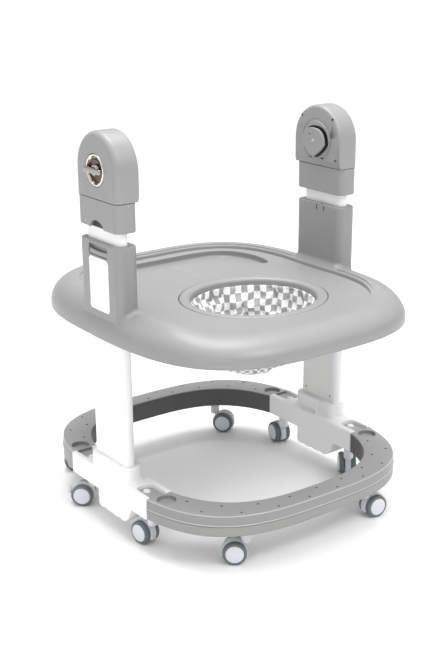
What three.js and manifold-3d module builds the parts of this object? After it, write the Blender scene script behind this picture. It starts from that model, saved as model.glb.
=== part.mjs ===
// Baby walker: a round-cornered base ring on eight twin-wheel casters, two upright columns, a tray that
// slides on the columns with a sling seat in it, and a head on each column with a quarter-turn lock.
// Millimetres. Z is up, +Y is the way the child faces, and the origin is on the floor below the middle.

import * as THREE from "three";
import { mergeVertices } from "three/addons/utils/BufferGeometryUtils.js";
import Module from "manifold-3d";

const wasm = await Module();
wasm.setup();

// ---------------------------------------------------------------- driving dimensions

const GAP = 0.3; // between pieces that touch
const PLAY = 0.6; // between pieces that slide
const BEYOND = 5; // how far a cutter reaches past what it cuts
const OVERLAP = 1; // how far joined shapes reach into each other

const RING = {
  outer: { halfX: 316, halfY: 350, power: 3.2 },
  inner: { halfX: 260, halfY: 300, power: 2.9 },
  top: 127, seam: 104, bottom: 81, wall: 3, steps: 44,
  chamfer: 4, innerChamfer: 3, skirtInset: 1.2, flange: 10,
};
const PLAN_LIMIT = 400; // past the object in plan
const CUP = { x: 275.4, y: 171.2, radius: 19.5, wall: 3, depth: 9 };
const TONGUE = { left: 262, right: 300, from: 92, bottom: 100, top: 121.5, corner: 8, bulkhead: 4 };
const BUTTON = { x: 282.5, y: 108.8, radius: 8, bottom: 108, shoulder: 122.5, top: 126.5, crown: [5.5, 1] };

const BRACKET = { inner: 246, outer: 312, end: 147, top: 130, bottom: 81, wall: 3.5, roof: 96 };
const BELLY = [[44, 90], [44, 49], [38, 41], [-56, 41], [-68, 46], [-76, 57], [-84, 74], [-90, 90]];
const BELLY_INSET = 3;
const STEM_BOSS = 13; // radius of the socket that holds a caster's stem
const COLLAR = { left: 262, right: 312, halfY: 72, corner: 24, top: 163 };

const COLUMN = { x: 288.7, halfX: 13.1, halfY: 63, bottom: 97, top: 714, wall: 3 };
const COVER = { halfY: 50, bottom: 168, top: 560, thickness: 1.5 };

const HEAD = { left: 262, right: 312, halfY: 76, corner: 17, bottom: 661, seam: 720 };
const CAP = { left: 256.5, axis: 777, radius: 76, bevel: 10, wall: 4, step: 722, stepTop: 736, below: 40 };
const NOTCH = { y: 2, halfY: 26, height: 16, depth: 9 };
const BOSS = { radius: 42, face: 255 };
const BEZEL = {
  radius: 33, floor: 306, rim: 313.2, well: 302.5, wellWall: 3,
  lip: 2.5, bowl: 7, bowlFloor: 2.4, centreFloor: 1.5,
};
const KNOB = {
  spindle: 7, hub: 12, hubBack: 308.6,
  gripBack: 313.8, gripFace: 320.8, gripHalfY: 31, gripHalfZ: 5.5, gripCorner: 4,
};
const CAM = {
  face: 244, plate: 249, post: 12, socket: 250,
  top: 28, widest: -6, halfY: 37, tip: -35, tipHalfY: 4, tipRise: 8, shoulder: 6,
};

const TRAY = {
  outline: { halfX: 322.6, halfY: 365.5, power: 3.13 },
  floor: 489, bottom: 437, wall: 3.5, steps: 44, lift: 10, skirtTop: 448, crest: 62, crestFoot: 79,
};
const SHOULDER_TURNS = [0, 30, 50, 70, 90]; // degrees along the shoulder, from the skirt to the crest
const FRONT_FADE = { none: -0.8, full: -0.55 }; // sine of the plan angle where the raised lip fades
const TOWER = { left: 262, right: 312, halfY: 74, corner: 16, bottom: 445, top: 634 };
const TOWER_HOLLOW = { left: 265, right: 306, halfY: 71, corner: 13, bottom: 462, top: 598 };
const LABEL = { halfY: 36.5, bottom: 491, top: 601, corner: 8, thickness: 2.1, recess: 2.4 };
const POCKET = { halfY: 35, bottom: 604, top: 627, back: 304.5 };
const LEVER = {
  halfY: 33, bottom: 604.6, top: 617, inner: 305.2, outer: 311,
  shelf: 4, blade: 2.5, bladeFoot: [3, 5], chamfer: 2,
};
const CRESCENT = {
  outer: { halfX: 212, halfY: 263, power: 5 }, inner: { halfX: 186, halfY: 196, power: 2 },
  floor: 474, from: 25, rounding: 14, steps: 18,
};
const SEAT = {
  outline: { halfX: 161, halfY: 150, power: 2, centreY: -103 },
  ledge: 483, ledgeIn: 8, ledgeOut: 6, neck: 450, band: 21, lip: 3, steps: 32,
  crown: [[0, -1], [-3, 0.8], [-12, 1.5], [-21, 0.5], [-24, -3]], // offset and height above the tray
};
const SLING = { halfX: 136, halfY: 125, top: 476, bottom: 324, cloth: 4, steps: 24, levels: 5 };
const LEG_HOLE = { x: 64, y: -50, z: 380, radius: 45, squeeze: 0.9, reach: 70, turn: 45 };

const CASTER = {
  trail: 23, radius: 25, halfWidth: 21, inner: 7.5, tyreEdge: 19, capRadius: 19, axle: 4, steps: 16,
};
const HOOD = { halfWidth: 6.7, radius: 27.5, from: -30, neck: 11, neckBottom: 46, neckTop: 77.2, room: 1.5 };
const STEM = { radius: 5, bottom: 58, flange: 11, flangeBottom: 77.7, flangeTop: 80.7, top: 98, steps: 8 };
const BORE_STEPS = 8;
const STEM_BORE = (STEM.radius + GAP) / Math.cos(Math.PI / BORE_STEPS); // flat sides clear the shaft
const AXLE_BORE = (CASTER.axle + GAP) / Math.cos(Math.PI / BORE_STEPS);
const BRAKE = { inner: 28.2, outer: 35, halfWidth: 8, from: 0, to: 22 };

// Stem position of each caster and the heading, in degrees from +X, in which its wheels trail.
const CASTERS = [
  { name: "rear_left", x: -163, y: -288, heading: 143 },
  { name: "rear_right", x: 163, y: -288, heading: 353 },
  { name: "front_right", x: 192, y: 300, heading: -49 },
  { name: "front_left", x: -192, y: 300, heading: 150 },
  { name: "left_rear", x: -274, y: -114, heading: 99 },
  { name: "left_front", x: -274, y: 124, heading: 135, brake: true },
  { name: "right_front", x: 274, y: 124, heading: 78, brake: true },
  { name: "right_rear", x: 274, y: -114, heading: 55 },
];

// ---------------------------------------------------------------- finishes

const FINISH = {
  tray: { color: 0xb4b4b4, roughness: 0.42, metalness: 0 },
  head: { color: 0xa6a6a6, roughness: 0.42, metalness: 0 },
  ring: { color: 0x9a9b9d, roughness: 0.45, metalness: 0 },
  skirt: { color: 0x999896, roughness: 0.5, metalness: 0 },
  white: { color: 0xf4f4f3, roughness: 0.35, metalness: 0 },
  cover: { color: 0xb2b2b0, roughness: 0.5, metalness: 0 },
  chrome: { color: 0xd8d6d2, roughness: 0.08, metalness: 1 },
  steel: { color: 0xb9bbbd, roughness: 0.3, metalness: 1 },
  tyre: { color: 0x5a6260, roughness: 0.6, metalness: 0 },
  hood: { color: 0xd2d3d5, roughness: 0.4, metalness: 0 },
  fabric: { color: 0xdedede, roughness: 0.9, metalness: 0 },
};

// ---------------------------------------------------------------- solids, cuts and joins

function solid(geometry) {
  const bare = geometry.clone();
  bare.deleteAttribute("normal");
  bare.deleteAttribute("uv");
  const merged = mergeVertices(bare);
  const corners = Array.from(merged.index.array);
  const kept = [];
  for (let i = 0; i < corners.length; i += 3) {
    const [a, b, c] = corners.slice(i, i + 3);
    if (a !== b && b !== c && c !== a) kept.push(a, b, c);
  }
  return new wasm.Manifold(new wasm.Mesh({
    numProp: 3,
    vertProperties: new Float32Array(merged.attributes.position.array),
    triVerts: new Uint32Array(kept),
  }));
}

function geometryOf(manifold) {
  const { vertProperties, triVerts } = manifold.getMesh();
  const geometry = new THREE.BufferGeometry();
  geometry.setAttribute("position", new THREE.BufferAttribute(new Float32Array(vertProperties), 3));
  geometry.setIndex(new THREE.BufferAttribute(new Uint32Array(triVerts), 1));
  geometry.computeVertexNormals();
  return geometry;
}

function join(first, ...others) {
  return others.reduce((sum, other) => sum.add(other), first);
}

function cut(body, ...cutters) {
  return cutters.reduce((rest, cutter) => rest.subtract(cutter), body);
}

function box(x0, x1, y0, y1, z0, z1) {
  const geometry = new THREE.BoxGeometry(x1 - x0, y1 - y0, z1 - z0);
  geometry.translate((x0 + x1) / 2, (y0 + y1) / 2, (z0 + z1) / 2);
  return solid(geometry);
}

// The mirror image across the plane X = 0, with its faces still pointing out.
function mirrored(geometry) {
  const copy = geometry.clone().applyMatrix4(new THREE.Matrix4().makeScale(-1, 1, 1));
  const index = copy.index.array;
  for (let i = 0; i < index.length; i += 3) [index[i], index[i + 1]] = [index[i + 1], index[i]];
  copy.computeVertexNormals();
  return copy;
}

// ---------------------------------------------------------------- outlines and swept shapes

const X_AXIS = new THREE.Vector3(1, 0, 0);
const Y_AXIS = new THREE.Vector3(0, 1, 0);
const Z_AXIS = new THREE.Vector3(0, 0, 1);

function roundedRect(u0, u1, v0, v1, corner) {
  const shape = new THREE.Shape();
  shape.absarc(u1 - corner, v0 + corner, corner, -Math.PI / 2, 0);
  shape.absarc(u1 - corner, v1 - corner, corner, 0, Math.PI / 2);
  shape.absarc(u0 + corner, v1 - corner, corner, Math.PI / 2, Math.PI);
  shape.absarc(u0 + corner, v0 + corner, corner, Math.PI, 1.5 * Math.PI);
  return shape;
}

function polygon(points) {
  return new THREE.Shape(points.map(([u, v]) => new THREE.Vector2(u, v)));
}

function extrude(shape, length, curveSegments = 3) {
  return new THREE.ExtrudeGeometry(shape, { depth: length, bevelEnabled: false, curveSegments });
}

// A shape drawn in X and Y, standing from z0 to z1.
function upright(shape, z0, z1, curveSegments) {
  return solid(extrude(shape, z1 - z0, curveSegments).translate(0, 0, z0));
}

// A shape drawn in Y and Z, running from x0 to x1.
function acrossX(shape, x0, x1, curveSegments) {
  const turned = new THREE.Matrix4().makeBasis(Y_AXIS, Z_AXIS, X_AXIS);
  return solid(extrude(shape, x1 - x0, curveSegments).applyMatrix4(turned).translate(x0, 0, 0));
}

// A shape drawn in X and Z, running from y0 to y1.
function acrossY(shape, y0, y1, curveSegments) {
  const turned = new THREE.Matrix4().makeBasis(X_AXIS, Z_AXIS, Y_AXIS.clone().negate());
  return solid(extrude(shape, y1 - y0, curveSegments).applyMatrix4(turned).translate(0, y1, 0));
}

function revolve(profile, steps) {
  return new THREE.LatheGeometry(profile.map(([r, h]) => new THREE.Vector2(r, h)), steps);
}

// Turned about a vertical axis; the profile is [radius, z].
function turnedZ(profile, x, y, steps = 12) {
  return solid(revolve(profile, steps).rotateX(Math.PI / 2).translate(x, y, 0));
}

// Turned about an axis along X at y = 0; the profile is [radius, x].
function turnedX(profile, z, steps = 14) {
  return solid(revolve(profile, steps).rotateZ(-Math.PI / 2).translate(0, 0, z));
}

function rod(radius, low, high) {
  return [[0, low], [radius, low], [radius, high], [0, high]];
}

// A superellipse as a function: outline(angle, offset) is the point that lies offset outside it.
function superellipse({ halfX, halfY, power, centreY = 0 }, scale = 1) {
  return (angle, offset = 0) => {
    const across = Math.abs(Math.cos(angle)) / halfX;
    const along = Math.abs(Math.sin(angle)) / halfY;
    const radius = scale * (across ** power + along ** power) ** (-1 / power) + offset;
    return new THREE.Vector2(radius * Math.cos(angle), centreY + radius * Math.sin(angle));
  };
}

// A hoop whose section is drawn point by point: each is [outline, offset, z or z(angle)].
function hoop(section, steps) {
  const closed = [...section, section[0]];
  const geometry = new THREE.LatheGeometry(closed.map((_, i) => new THREE.Vector2(1, i)), steps);
  const position = geometry.attributes.position;
  for (let step = 0; step <= steps; step += 1) {
    const angle = (2 * Math.PI * (step % steps)) / steps;
    closed.forEach(([outline, offset, z], i) => {
      const point = outline(angle, offset);
      const height = typeof z === "function" ? z(angle) : z;
      position.setXYZ(step * closed.length + i, point.x, point.y, height);
    });
  }
  return solid(geometry);
}

// ---------------------------------------------------------------- base ring

const ringOuter = superellipse(RING.outer);
const ringInner = superellipse(RING.inner);

function ringShellHoop() {
  const under = RING.top - RING.wall;
  return hoop([
    [ringOuter, 0, RING.seam + GAP], [ringOuter, 0, RING.top - RING.chamfer],
    [ringOuter, -RING.chamfer, RING.top],
    [ringInner, RING.innerChamfer, RING.top], [ringInner, 0, RING.top - RING.innerChamfer],
    [ringInner, 0, RING.bottom],
    [ringInner, RING.wall, RING.bottom], [ringInner, RING.wall, under],
    [ringOuter, -RING.wall, under], [ringOuter, -RING.wall, RING.seam + GAP],
  ], RING.steps);
}

function ringSkirtHoop() {
  const inset = RING.skirtInset;
  const plate = RING.bottom + RING.wall;
  const lip = RING.wall + GAP;
  return hoop([
    [ringOuter, -RING.chamfer, RING.bottom], [ringOuter, -inset, RING.bottom + RING.wall],
    [ringOuter, -inset, RING.seam],
    [ringOuter, -inset - RING.wall, RING.seam], [ringOuter, -inset - RING.wall, plate],
    [ringInner, lip + RING.wall, plate], [ringInner, lip + RING.wall, plate + RING.flange],
    [ringInner, lip, plate + RING.flange], [ringInner, lip, RING.bottom],
  ], RING.steps);
}

function ringFullHoop() {
  return hoop([
    [ringOuter, -OVERLAP, RING.seam + GAP], [ringOuter, -OVERLAP, RING.top - OVERLAP],
    [ringInner, OVERLAP, RING.top - OVERLAP], [ringInner, OVERLAP, RING.seam + GAP],
  ], RING.steps);
}

// The half of the plan from the bracket end outwards, for front = 1 or rear = -1.
function arcRegion(front, from, to = PLAN_LIMIT) {
  const [y0, y1] = front > 0 ? [from, to] : [-to, -from];
  return box(-PLAN_LIMIT, PLAN_LIMIT, y0, y1, 0, RING.top + BEYOND);
}

function ringShell(front) {
  const end = BRACKET.end + GAP;
  let shell = ringShellHoop().intersect(arcRegion(front, end));
  const bulkheads = ringFullHoop().intersect(arcRegion(front, end, end + TONGUE.bulkhead));
  const ringInside = arcRegion(front, end + TONGUE.bulkhead);
  shell = shell.add(bulkheads);
  for (const side of [-1, 1]) {
    const [x0, x1] = side > 0 ? [TONGUE.left, TONGUE.right] : [-TONGUE.right, -TONGUE.left];
    const root = end + TONGUE.bulkhead + TONGUE.corner;
    const [y0, y1] = front > 0 ? [TONGUE.from, root] : [-root, -TONGUE.from];
    const cup = [side * CUP.x, front * CUP.y];
    const cupFloor = RING.top - CUP.depth;
    const well = rod(CUP.radius + CUP.wall, cupFloor - CUP.wall, RING.top - OVERLAP);
    const tongue = upright(roundedRect(x0, x1, y0, y1, TONGUE.corner), TONGUE.bottom, TONGUE.top);
    shell = join(shell, tongue.subtract(ringInside), turnedZ(well, ...cup));
    const bore = rod(BUTTON.radius + GAP, 0, RING.top + BEYOND);
    const recess = rod(CUP.radius, cupFloor, RING.top + BEYOND);
    shell = cut(shell, turnedZ(bore, side * BUTTON.x, front * BUTTON.y), turnedZ(recess, ...cup, 14));
  }
  return shell;
}

function ringSkirt(front) {
  let skirt = ringSkirtHoop().intersect(arcRegion(front, BRACKET.end + GAP));
  for (const caster of CASTERS.filter(({ y }) => Math.sign(y) === front && Math.abs(y) > BRACKET.end)) {
    skirt = cut(skirt, turnedZ(rod(STEM_BORE, 0, RING.seam), caster.x, caster.y, BORE_STEPS));
  }
  return skirt;
}

function snapButton(x, y) {
  const { radius, bottom, shoulder, top, crown } = BUTTON;
  const profile = [[0, bottom], [radius, bottom], [radius, shoulder], [crown[0], top - crown[1]], [0, top]];
  return turnedZ(profile, x, y);
}

// ---------------------------------------------------------------- right-hand upright

function columnOutline(offset) {
  const { x, halfX, halfY } = COLUMN;
  const left = x - halfX - offset;
  const right = x + halfX + offset;
  return roundedRect(left, right, -halfY - offset, halfY + offset, halfX + offset - 0.01);
}

function columnBore(offset, z0, z1) {
  return upright(columnOutline(offset), z0, z1, 3);
}

function bracket() {
  const { inner, outer, end, top, bottom, wall, roof } = BRACKET;
  const belly = acrossX(polygon(BELLY), inner + BELLY_INSET, outer - BELLY_INSET);
  const collarShape = roundedRect(COLLAR.left, COLLAR.right, -COLLAR.halfY, COLLAR.halfY, COLLAR.corner);
  const collar = upright(collarShape, top - OVERLAP, COLLAR.top);
  const body = join(box(inner, outer, -end, end, bottom, top), belly, collar);
  const roomOutline = BELLY.map(([y, z]) => [y > 0 ? y - wall : y + wall, z + wall]);
  const room = acrossX(polygon(roomOutline), inner + wall + BELLY_INSET, outer - wall - BELLY_INSET);
  const cavity = box(inner + wall, outer - wall, -end + wall, end - wall, bottom - BEYOND, roof).add(room);
  const bellyFloor = belly.subtract(room).intersect(box(inner, outer, -end, end, 0, bottom + OVERLAP));
  let piece = join(body.subtract(cavity), bellyFloor);
  const pocketShape = (y0, y1) => roundedRect(
    TONGUE.left - PLAY, TONGUE.right + PLAY, y0, y1, TONGUE.corner,
  );
  for (const front of [-1, 1]) {
    const near = TONGUE.from - PLAY;
    const far = end + BEYOND + TONGUE.corner;
    const shape = front > 0 ? pocketShape(near, far) : pocketShape(-far, -near);
    piece = cut(piece, upright(shape, roof - OVERLAP, top + BEYOND));
  }
  for (const caster of CASTERS.filter(({ x, y }) => x > 0 && Math.abs(y) < end)) {
    const boss = turnedZ(rod(STEM_BOSS, bottom, roof + OVERLAP), caster.x, caster.y);
    const hole = rod(STEM_BORE, bottom - BEYOND, STEM.top + OVERLAP);
    const bore = turnedZ(hole, caster.x, caster.y, BORE_STEPS);
    piece = piece.add(boss).subtract(bore);
  }
  return cut(piece, columnBore(GAP, roof - BEYOND, COLLAR.top + BEYOND));
}

function column() {
  const face = COLUMN.x - COLUMN.halfX;
  const cover = box(
    face - BEYOND, face + COVER.thickness + GAP,
    -COVER.halfY - GAP, COVER.halfY + GAP, COVER.bottom - GAP, COVER.top + GAP,
  );
  return cut(
    columnBore(0, COLUMN.bottom, COLUMN.top),
    columnBore(-COLUMN.wall, COLUMN.bottom - BEYOND, COLUMN.top + BEYOND),
    cover,
  );
}

function columnCover() {
  const face = COLUMN.x - COLUMN.halfX;
  return box(face, face + COVER.thickness, -COVER.halfY, COVER.halfY, COVER.bottom, COVER.top);
}

function headCollar() {
  const { left, right, halfY, corner, bottom, seam } = HEAD;
  const body = upright(roundedRect(left, right, -halfY, halfY, corner), bottom, seam);
  const arch = new THREE.Shape();
  arch.moveTo(NOTCH.y - NOTCH.halfY, bottom - BEYOND);
  arch.lineTo(NOTCH.y + NOTCH.halfY, bottom - BEYOND);
  arch.absellipse(NOTCH.y, bottom, NOTCH.halfY, NOTCH.height, 0, Math.PI, false, 0);
  const notch = acrossX(arch, right - NOTCH.depth, right + BEYOND, 8);
  return cut(body, columnBore(GAP, bottom - BEYOND, seam + BEYOND), notch);
}

function capProfile(inset, bottom) {
  const radius = CAP.radius - inset;
  const shape = new THREE.Shape();
  shape.moveTo(-radius, bottom);
  shape.lineTo(radius, bottom);
  shape.absarc(0, CAP.axis, radius, 0, Math.PI);
  return shape;
}

function headCap() {
  const { left, bevel, wall, step, stepTop, axis, below } = CAP;
  const bottom = HEAD.seam + GAP;
  const settings = {
    depth: HEAD.right - left - 2 * bevel, curveSegments: 10,
    bevelThickness: bevel, bevelSize: bevel, bevelOffset: -bevel, bevelSegments: 2,
  };
  const turned = new THREE.Matrix4().makeBasis(Y_AXIS, Z_AXIS, X_AXIS);
  const rounded = new THREE.ExtrudeGeometry(capProfile(0, bottom - below), settings).applyMatrix4(turned);
  const outside = solid(rounded.translate(left + bevel, 0, 0))
    .intersect(box(0, PLAN_LIMIT, -PLAN_LIMIT, PLAN_LIMIT, bottom, CAP.axis + CAP.radius + BEYOND));
  const under = polygon([
    [left - BEYOND, bottom - BEYOND], [HEAD.left, bottom - BEYOND], [HEAD.left, step], [left, stepTop],
    [left - BEYOND, stepTop],
  ]);
  const cavity = acrossX(capProfile(wall, bottom - below), HEAD.left + wall, HEAD.right - wall, 8);
  const well = turnedX(rod(BEZEL.radius + BEZEL.wellWall, BEZEL.well, HEAD.right - OVERLAP), axis);
  const boss = turnedX(rod(BOSS.radius, BOSS.face, left + OVERLAP), axis);
  const pocket = turnedX(rod(BEZEL.radius + GAP, BEZEL.floor - GAP, HEAD.right + BEYOND), axis);
  const bore = turnedX(rod(KNOB.spindle + GAP, BOSS.face - BEYOND, HEAD.right), axis);
  const shell = cut(outside, acrossY(under, -PLAN_LIMIT, PLAN_LIMIT), cavity);
  return cut(join(shell, well, boss), pocket, bore);
}

// ---------------------------------------------------------------- quarter-turn lock in the head

function knobBezel() {
  const { radius, floor, rim, lip, bowl, bowlFloor, centreFloor } = BEZEL;
  const hole = KNOB.spindle + PLAY;
  return turnedX([
    [hole, floor], [radius, floor], [radius, rim], [radius - lip, rim],
    [radius - bowl, floor + bowlFloor], [hole, floor + centreFloor], [hole, floor],
  ], CAP.axis);
}

function knob() {
  const { spindle, hub, hubBack, gripBack, gripFace, gripHalfY, gripHalfZ, gripCorner } = KNOB;
  const stackEnd = gripBack + OVERLAP;
  const stack = turnedX([
    [0, CAM.socket], [spindle, CAM.socket], [spindle, hubBack], [hub, hubBack], [hub, stackEnd],
    [0, stackEnd],
  ], CAP.axis);
  const [low, high] = [CAP.axis - gripHalfZ, CAP.axis + gripHalfZ];
  const gripShape = roundedRect(-gripHalfY, gripHalfY, low, high, gripCorner);
  return join(stack, acrossX(gripShape, gripBack, gripFace, 3));
}

function lockCam() {
  const { face, plate, post, socket, halfY, tipHalfY, tipRise, shoulder } = CAM;
  const [tip, widest, top] = [CAM.tip, CAM.widest, CAM.top].map((height) => CAP.axis + height);
  const shape = new THREE.Shape();
  shape.moveTo(-tipHalfY, tip);
  shape.lineTo(tipHalfY, tip);
  shape.quadraticCurveTo(halfY, tip + tipRise, halfY, widest);
  shape.quadraticCurveTo(halfY - shoulder, top, 0, top);
  shape.quadraticCurveTo(shoulder - halfY, top, -halfY, widest);
  shape.quadraticCurveTo(-halfY, tip + tipRise, -tipHalfY, tip);
  const stub = turnedX(rod(post, plate - OVERLAP, BOSS.face - GAP), CAP.axis);
  const body = join(acrossX(shape, face, plate, 4), stub);
  return cut(body, turnedX(rod(KNOB.spindle + GAP, socket - GAP, BOSS.face + OVERLAP), CAP.axis));
}

// ---------------------------------------------------------------- tray, seat and sling

const trayOutline = superellipse(TRAY.outline);
const seatOutline = superellipse(SEAT.outline);

// 1 along the front and the sides of the tray, easing to 0 round the rear.
function frontness(angle) {
  return THREE.MathUtils.smoothstep(Math.sin(angle), FRONT_FADE.none, FRONT_FADE.full);
}

// The shoulder's section: a quarter of an ellipse from the top of the skirt in and up to the crest.
function shoulder(inset) {
  const { floor, lift, skirtTop, crest } = TRAY;
  return SHOULDER_TURNS.map((degrees) => {
    const turn = THREE.MathUtils.degToRad(degrees);
    const height = (angle) => {
      const crestTop = floor + lift * frontness(angle) - inset;
      return skirtTop + (crestTop - skirtTop) * Math.sin(turn);
    };
    return [trayOutline, -inset - (crest - inset) * (1 - Math.cos(turn)), height];
  });
}

function trayPlate() {
  const { floor, bottom, wall, crestFoot } = TRAY;
  const { ledge, ledgeIn, ledgeOut } = SEAT;
  const top = [[trayOutline, 0, bottom], ...shoulder(0), [trayOutline, -crestFoot, floor]];
  const rebate = [
    [seatOutline, PLAY, floor], [seatOutline, PLAY, ledge], [seatOutline, -ledgeIn, ledge],
    [seatOutline, -ledgeIn, ledge - wall], [seatOutline, ledgeOut, ledge - wall],
  ];
  const underside = [
    [trayOutline, -crestFoot, floor - wall], ...shoulder(wall).reverse(), [trayOutline, -wall, bottom],
  ];
  return hoop([...top, ...rebate, ...underside], TRAY.steps);
}

// The crescent-shaped hollow round the front, drawn as a band about its own middle line.
function crescentShape(margin) {
  const outer = superellipse(CRESCENT.outer);
  const inner = superellipse(CRESCENT.inner);
  const from = CRESCENT.from;
  const points = [];
  for (const edge of [1, -1]) {
    for (let i = 0; i <= CRESCENT.steps; i += 1) {
      const share = edge > 0 ? i / CRESCENT.steps : 1 - i / CRESCENT.steps;
      const degrees = from + share * (180 - 2 * from);
      const angle = THREE.MathUtils.degToRad(degrees);
      const fromEnd = Math.min(degrees - from, 180 - from - degrees);
      const along = Math.min(fromEnd / CRESCENT.rounding, 1);
      const fullness = Math.sqrt(1 - (1 - along) ** 2);
      const middle = outer(angle).add(inner(angle)).multiplyScalar(0.5);
      const halfWidth = outer(angle).sub(inner(angle)).length() / 2;
      const outwards = middle.clone().normalize();
      points.push(middle.addScaledVector(outwards, edge * (halfWidth * fullness + margin)));
    }
  }
  return new THREE.Shape(points);
}

function tower() {
  const { left, right, halfY, corner, bottom, top } = TOWER;
  return upright(roundedRect(left, right, -halfY, halfY, corner), bottom, top);
}

// The room inside a tower, between the two lips that guide it on its column.
function towerHollow() {
  const { left, right, halfY, corner, bottom, top } = TOWER_HOLLOW;
  return upright(roundedRect(left, right, -halfY, halfY, corner), bottom, top);
}

function towerCuts() {
  const { right } = TOWER;
  const label = roundedRect(
    -LABEL.halfY - GAP, LABEL.halfY + GAP, LABEL.bottom - GAP, LABEL.top + GAP, LABEL.corner,
  );
  const pocket = roundedRect(-POCKET.halfY, POCKET.halfY, POCKET.bottom, POCKET.top, 4);
  return join(
    columnBore(PLAY, TRAY.bottom - BEYOND, TOWER.top + BEYOND),
    towerHollow(),
    acrossX(label, right - LABEL.recess, right + BEYOND, 3),
    acrossX(pocket, POCKET.back, right + BEYOND, 2),
  );
}

function trayShell() {
  const bucket = upright(crescentShape(TRAY.wall), CRESCENT.floor - TRAY.wall, TRAY.floor - OVERLAP);
  const recess = upright(crescentShape(0), CRESCENT.floor, TRAY.floor + TRAY.lift + BEYOND);
  const rightCuts = towerCuts();
  const leftCuts = solid(mirrored(geometryOf(rightCuts)));
  const towers = [tower(), solid(mirrored(geometryOf(tower())))];
  return cut(join(trayPlate(), bucket, ...towers), recess, rightCuts, leftCuts);
}

function seatRing() {
  const { band, lip, ledge, neck, crown, steps } = SEAT;
  return hoop([
    [seatOutline, -band, neck], [seatOutline, -band, ledge + GAP], [seatOutline, 0, ledge + GAP],
    ...crown.map(([offset, height]) => [seatOutline, offset, TRAY.floor + height]),
    [seatOutline, -band - lip, neck],
  ], steps);
}

// How wide the sling is, as a share of its mouth, at a share of its depth.
function slingWidth(depth) {
  return Math.sqrt(1 - depth ** 2.6) * (1 - 0.12 * depth);
}

function seatSling() {
  const { halfX, halfY, top, bottom, cloth, levels } = SLING;
  const outside = [];
  const inside = [];
  for (let i = 0; i <= levels; i += 1) {
    const depth = Math.sin((i / levels) * Math.PI / 2);
    const ring = { halfX, halfY, power: 2, centreY: SEAT.outline.centreY };
    const outline = superellipse(ring, slingWidth(depth));
    const lined = { ...ring, halfX: halfX - cloth, halfY: halfY - cloth };
    outside.unshift([outline, 0, top - depth * (top - bottom)]);
    inside.push([superellipse(lined, slingWidth(depth)), 0, top - depth * (top - bottom - cloth)]);
  }
  let sling = hoop([...outside, ...inside], SLING.steps);
  for (const side of [-1, 1]) {
    const hole = new THREE.CylinderGeometry(LEG_HOLE.radius, LEG_HOLE.radius, LEG_HOLE.reach, 16);
    hole.scale(LEG_HOLE.squeeze, 1, 1);
    hole.rotateZ(THREE.MathUtils.degToRad(-side * LEG_HOLE.turn));
    hole.translate(side * LEG_HOLE.x, LEG_HOLE.y, LEG_HOLE.z);
    sling = cut(sling, solid(hole));
  }
  return sling;
}

function labelPlate() {
  const shape = roundedRect(-LABEL.halfY, LABEL.halfY, LABEL.bottom, LABEL.top, LABEL.corner);
  return acrossX(shape, TOWER.right - LABEL.thickness, TOWER.right, 3);
}

function heightLever() {
  const { halfY, bottom, top, inner, outer, shelf, blade, bladeFoot, chamfer } = LEVER;
  const section = polygon([
    [inner, bottom], [outer - chamfer, bottom], [outer, bottom + shelf], [outer, top], [outer - blade, top],
    [outer - bladeFoot[0], bottom + bladeFoot[1]], [inner, bottom + shelf],
  ]);
  return acrossY(section, -halfY, halfY);
}

// ---------------------------------------------------------------- caster, about its own stem axis

function casterStem() {
  const { radius, bottom, flange, flangeBottom, flangeTop, top, steps } = STEM;
  return turnedZ([
    [0, bottom], [radius, bottom], [radius, flangeBottom], [flange, flangeBottom], [flange, flangeTop],
    [radius, flangeTop], [radius, top], [0, top],
  ], 0, 0, steps);
}

function casterHood() {
  const { halfWidth, radius, from, neck, neckBottom, neckTop, room } = HOOD;
  const start = THREE.MathUtils.degToRad(from);
  const side = new THREE.Shape();
  side.absarc(CASTER.trail, CASTER.radius, radius, start, Math.PI - start);
  const plate = acrossY(side, -halfWidth, halfWidth, 10);
  const post = turnedZ(rod(neck, neckBottom, neckTop), 0, 0);
  const axleHole = solid(revolve(rod(AXLE_BORE, -BEYOND - neck, BEYOND + neck), BORE_STEPS)
    .translate(CASTER.trail, 0, CASTER.radius));
  const bore = turnedZ(rod(STEM_BORE, STEM.bottom - GAP, neckTop + BEYOND), 0, 0, BORE_STEPS);
  const wheelRoom = [-1, 1].map((hand) => {
    const inner = halfWidth + PLAY;
    const slot = rod(CASTER.radius + room, 0, CASTER.halfWidth);
    const cutter = revolve(slot, CASTER.steps).translate(0, inner, 0);
    if (hand < 0) cutter.rotateX(Math.PI);
    return solid(cutter.translate(CASTER.trail, 0, CASTER.radius));
  });
  return cut(join(plate, post), axleHole, bore, ...wheelRoom);
}

function casterWheels() {
  const { radius, halfWidth, inner, tyreEdge, capRadius, axle, trail, steps } = CASTER;
  const half = [[axle, inner], [radius, inner], [radius, tyreEdge], [capRadius, halfWidth], [0, halfWidth]];
  const other = half.map(([r, y]) => [r, -y]).reverse();
  return solid(revolve([...other, ...half], steps).translate(trail, 0, radius));
}

function casterBrake() {
  const { inner, outer, halfWidth, from, to } = BRAKE;
  const shape = new THREE.Shape();
  const low = THREE.MathUtils.degToRad(from);
  const high = THREE.MathUtils.degToRad(to);
  shape.absarc(CASTER.trail, CASTER.radius, outer, low, high);
  shape.absarc(CASTER.trail, CASTER.radius, inner, high, low, true);
  return acrossY(shape, -halfWidth, halfWidth, 3);
}

// ---------------------------------------------------------------- assembly

const walker = new THREE.Group();

function add(name, geometry, finish, parent = walker) {
  const mesh = new THREE.Mesh(geometry, new THREE.MeshStandardMaterial(FINISH[finish]));
  mesh.name = name;
  parent.add(mesh);
}

function addPair(name, manifold, finish) {
  const right = geometryOf(manifold);
  add(`right_${name}`, right, finish);
  add(`left_${name}`, mirrored(right), finish);
}

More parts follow.
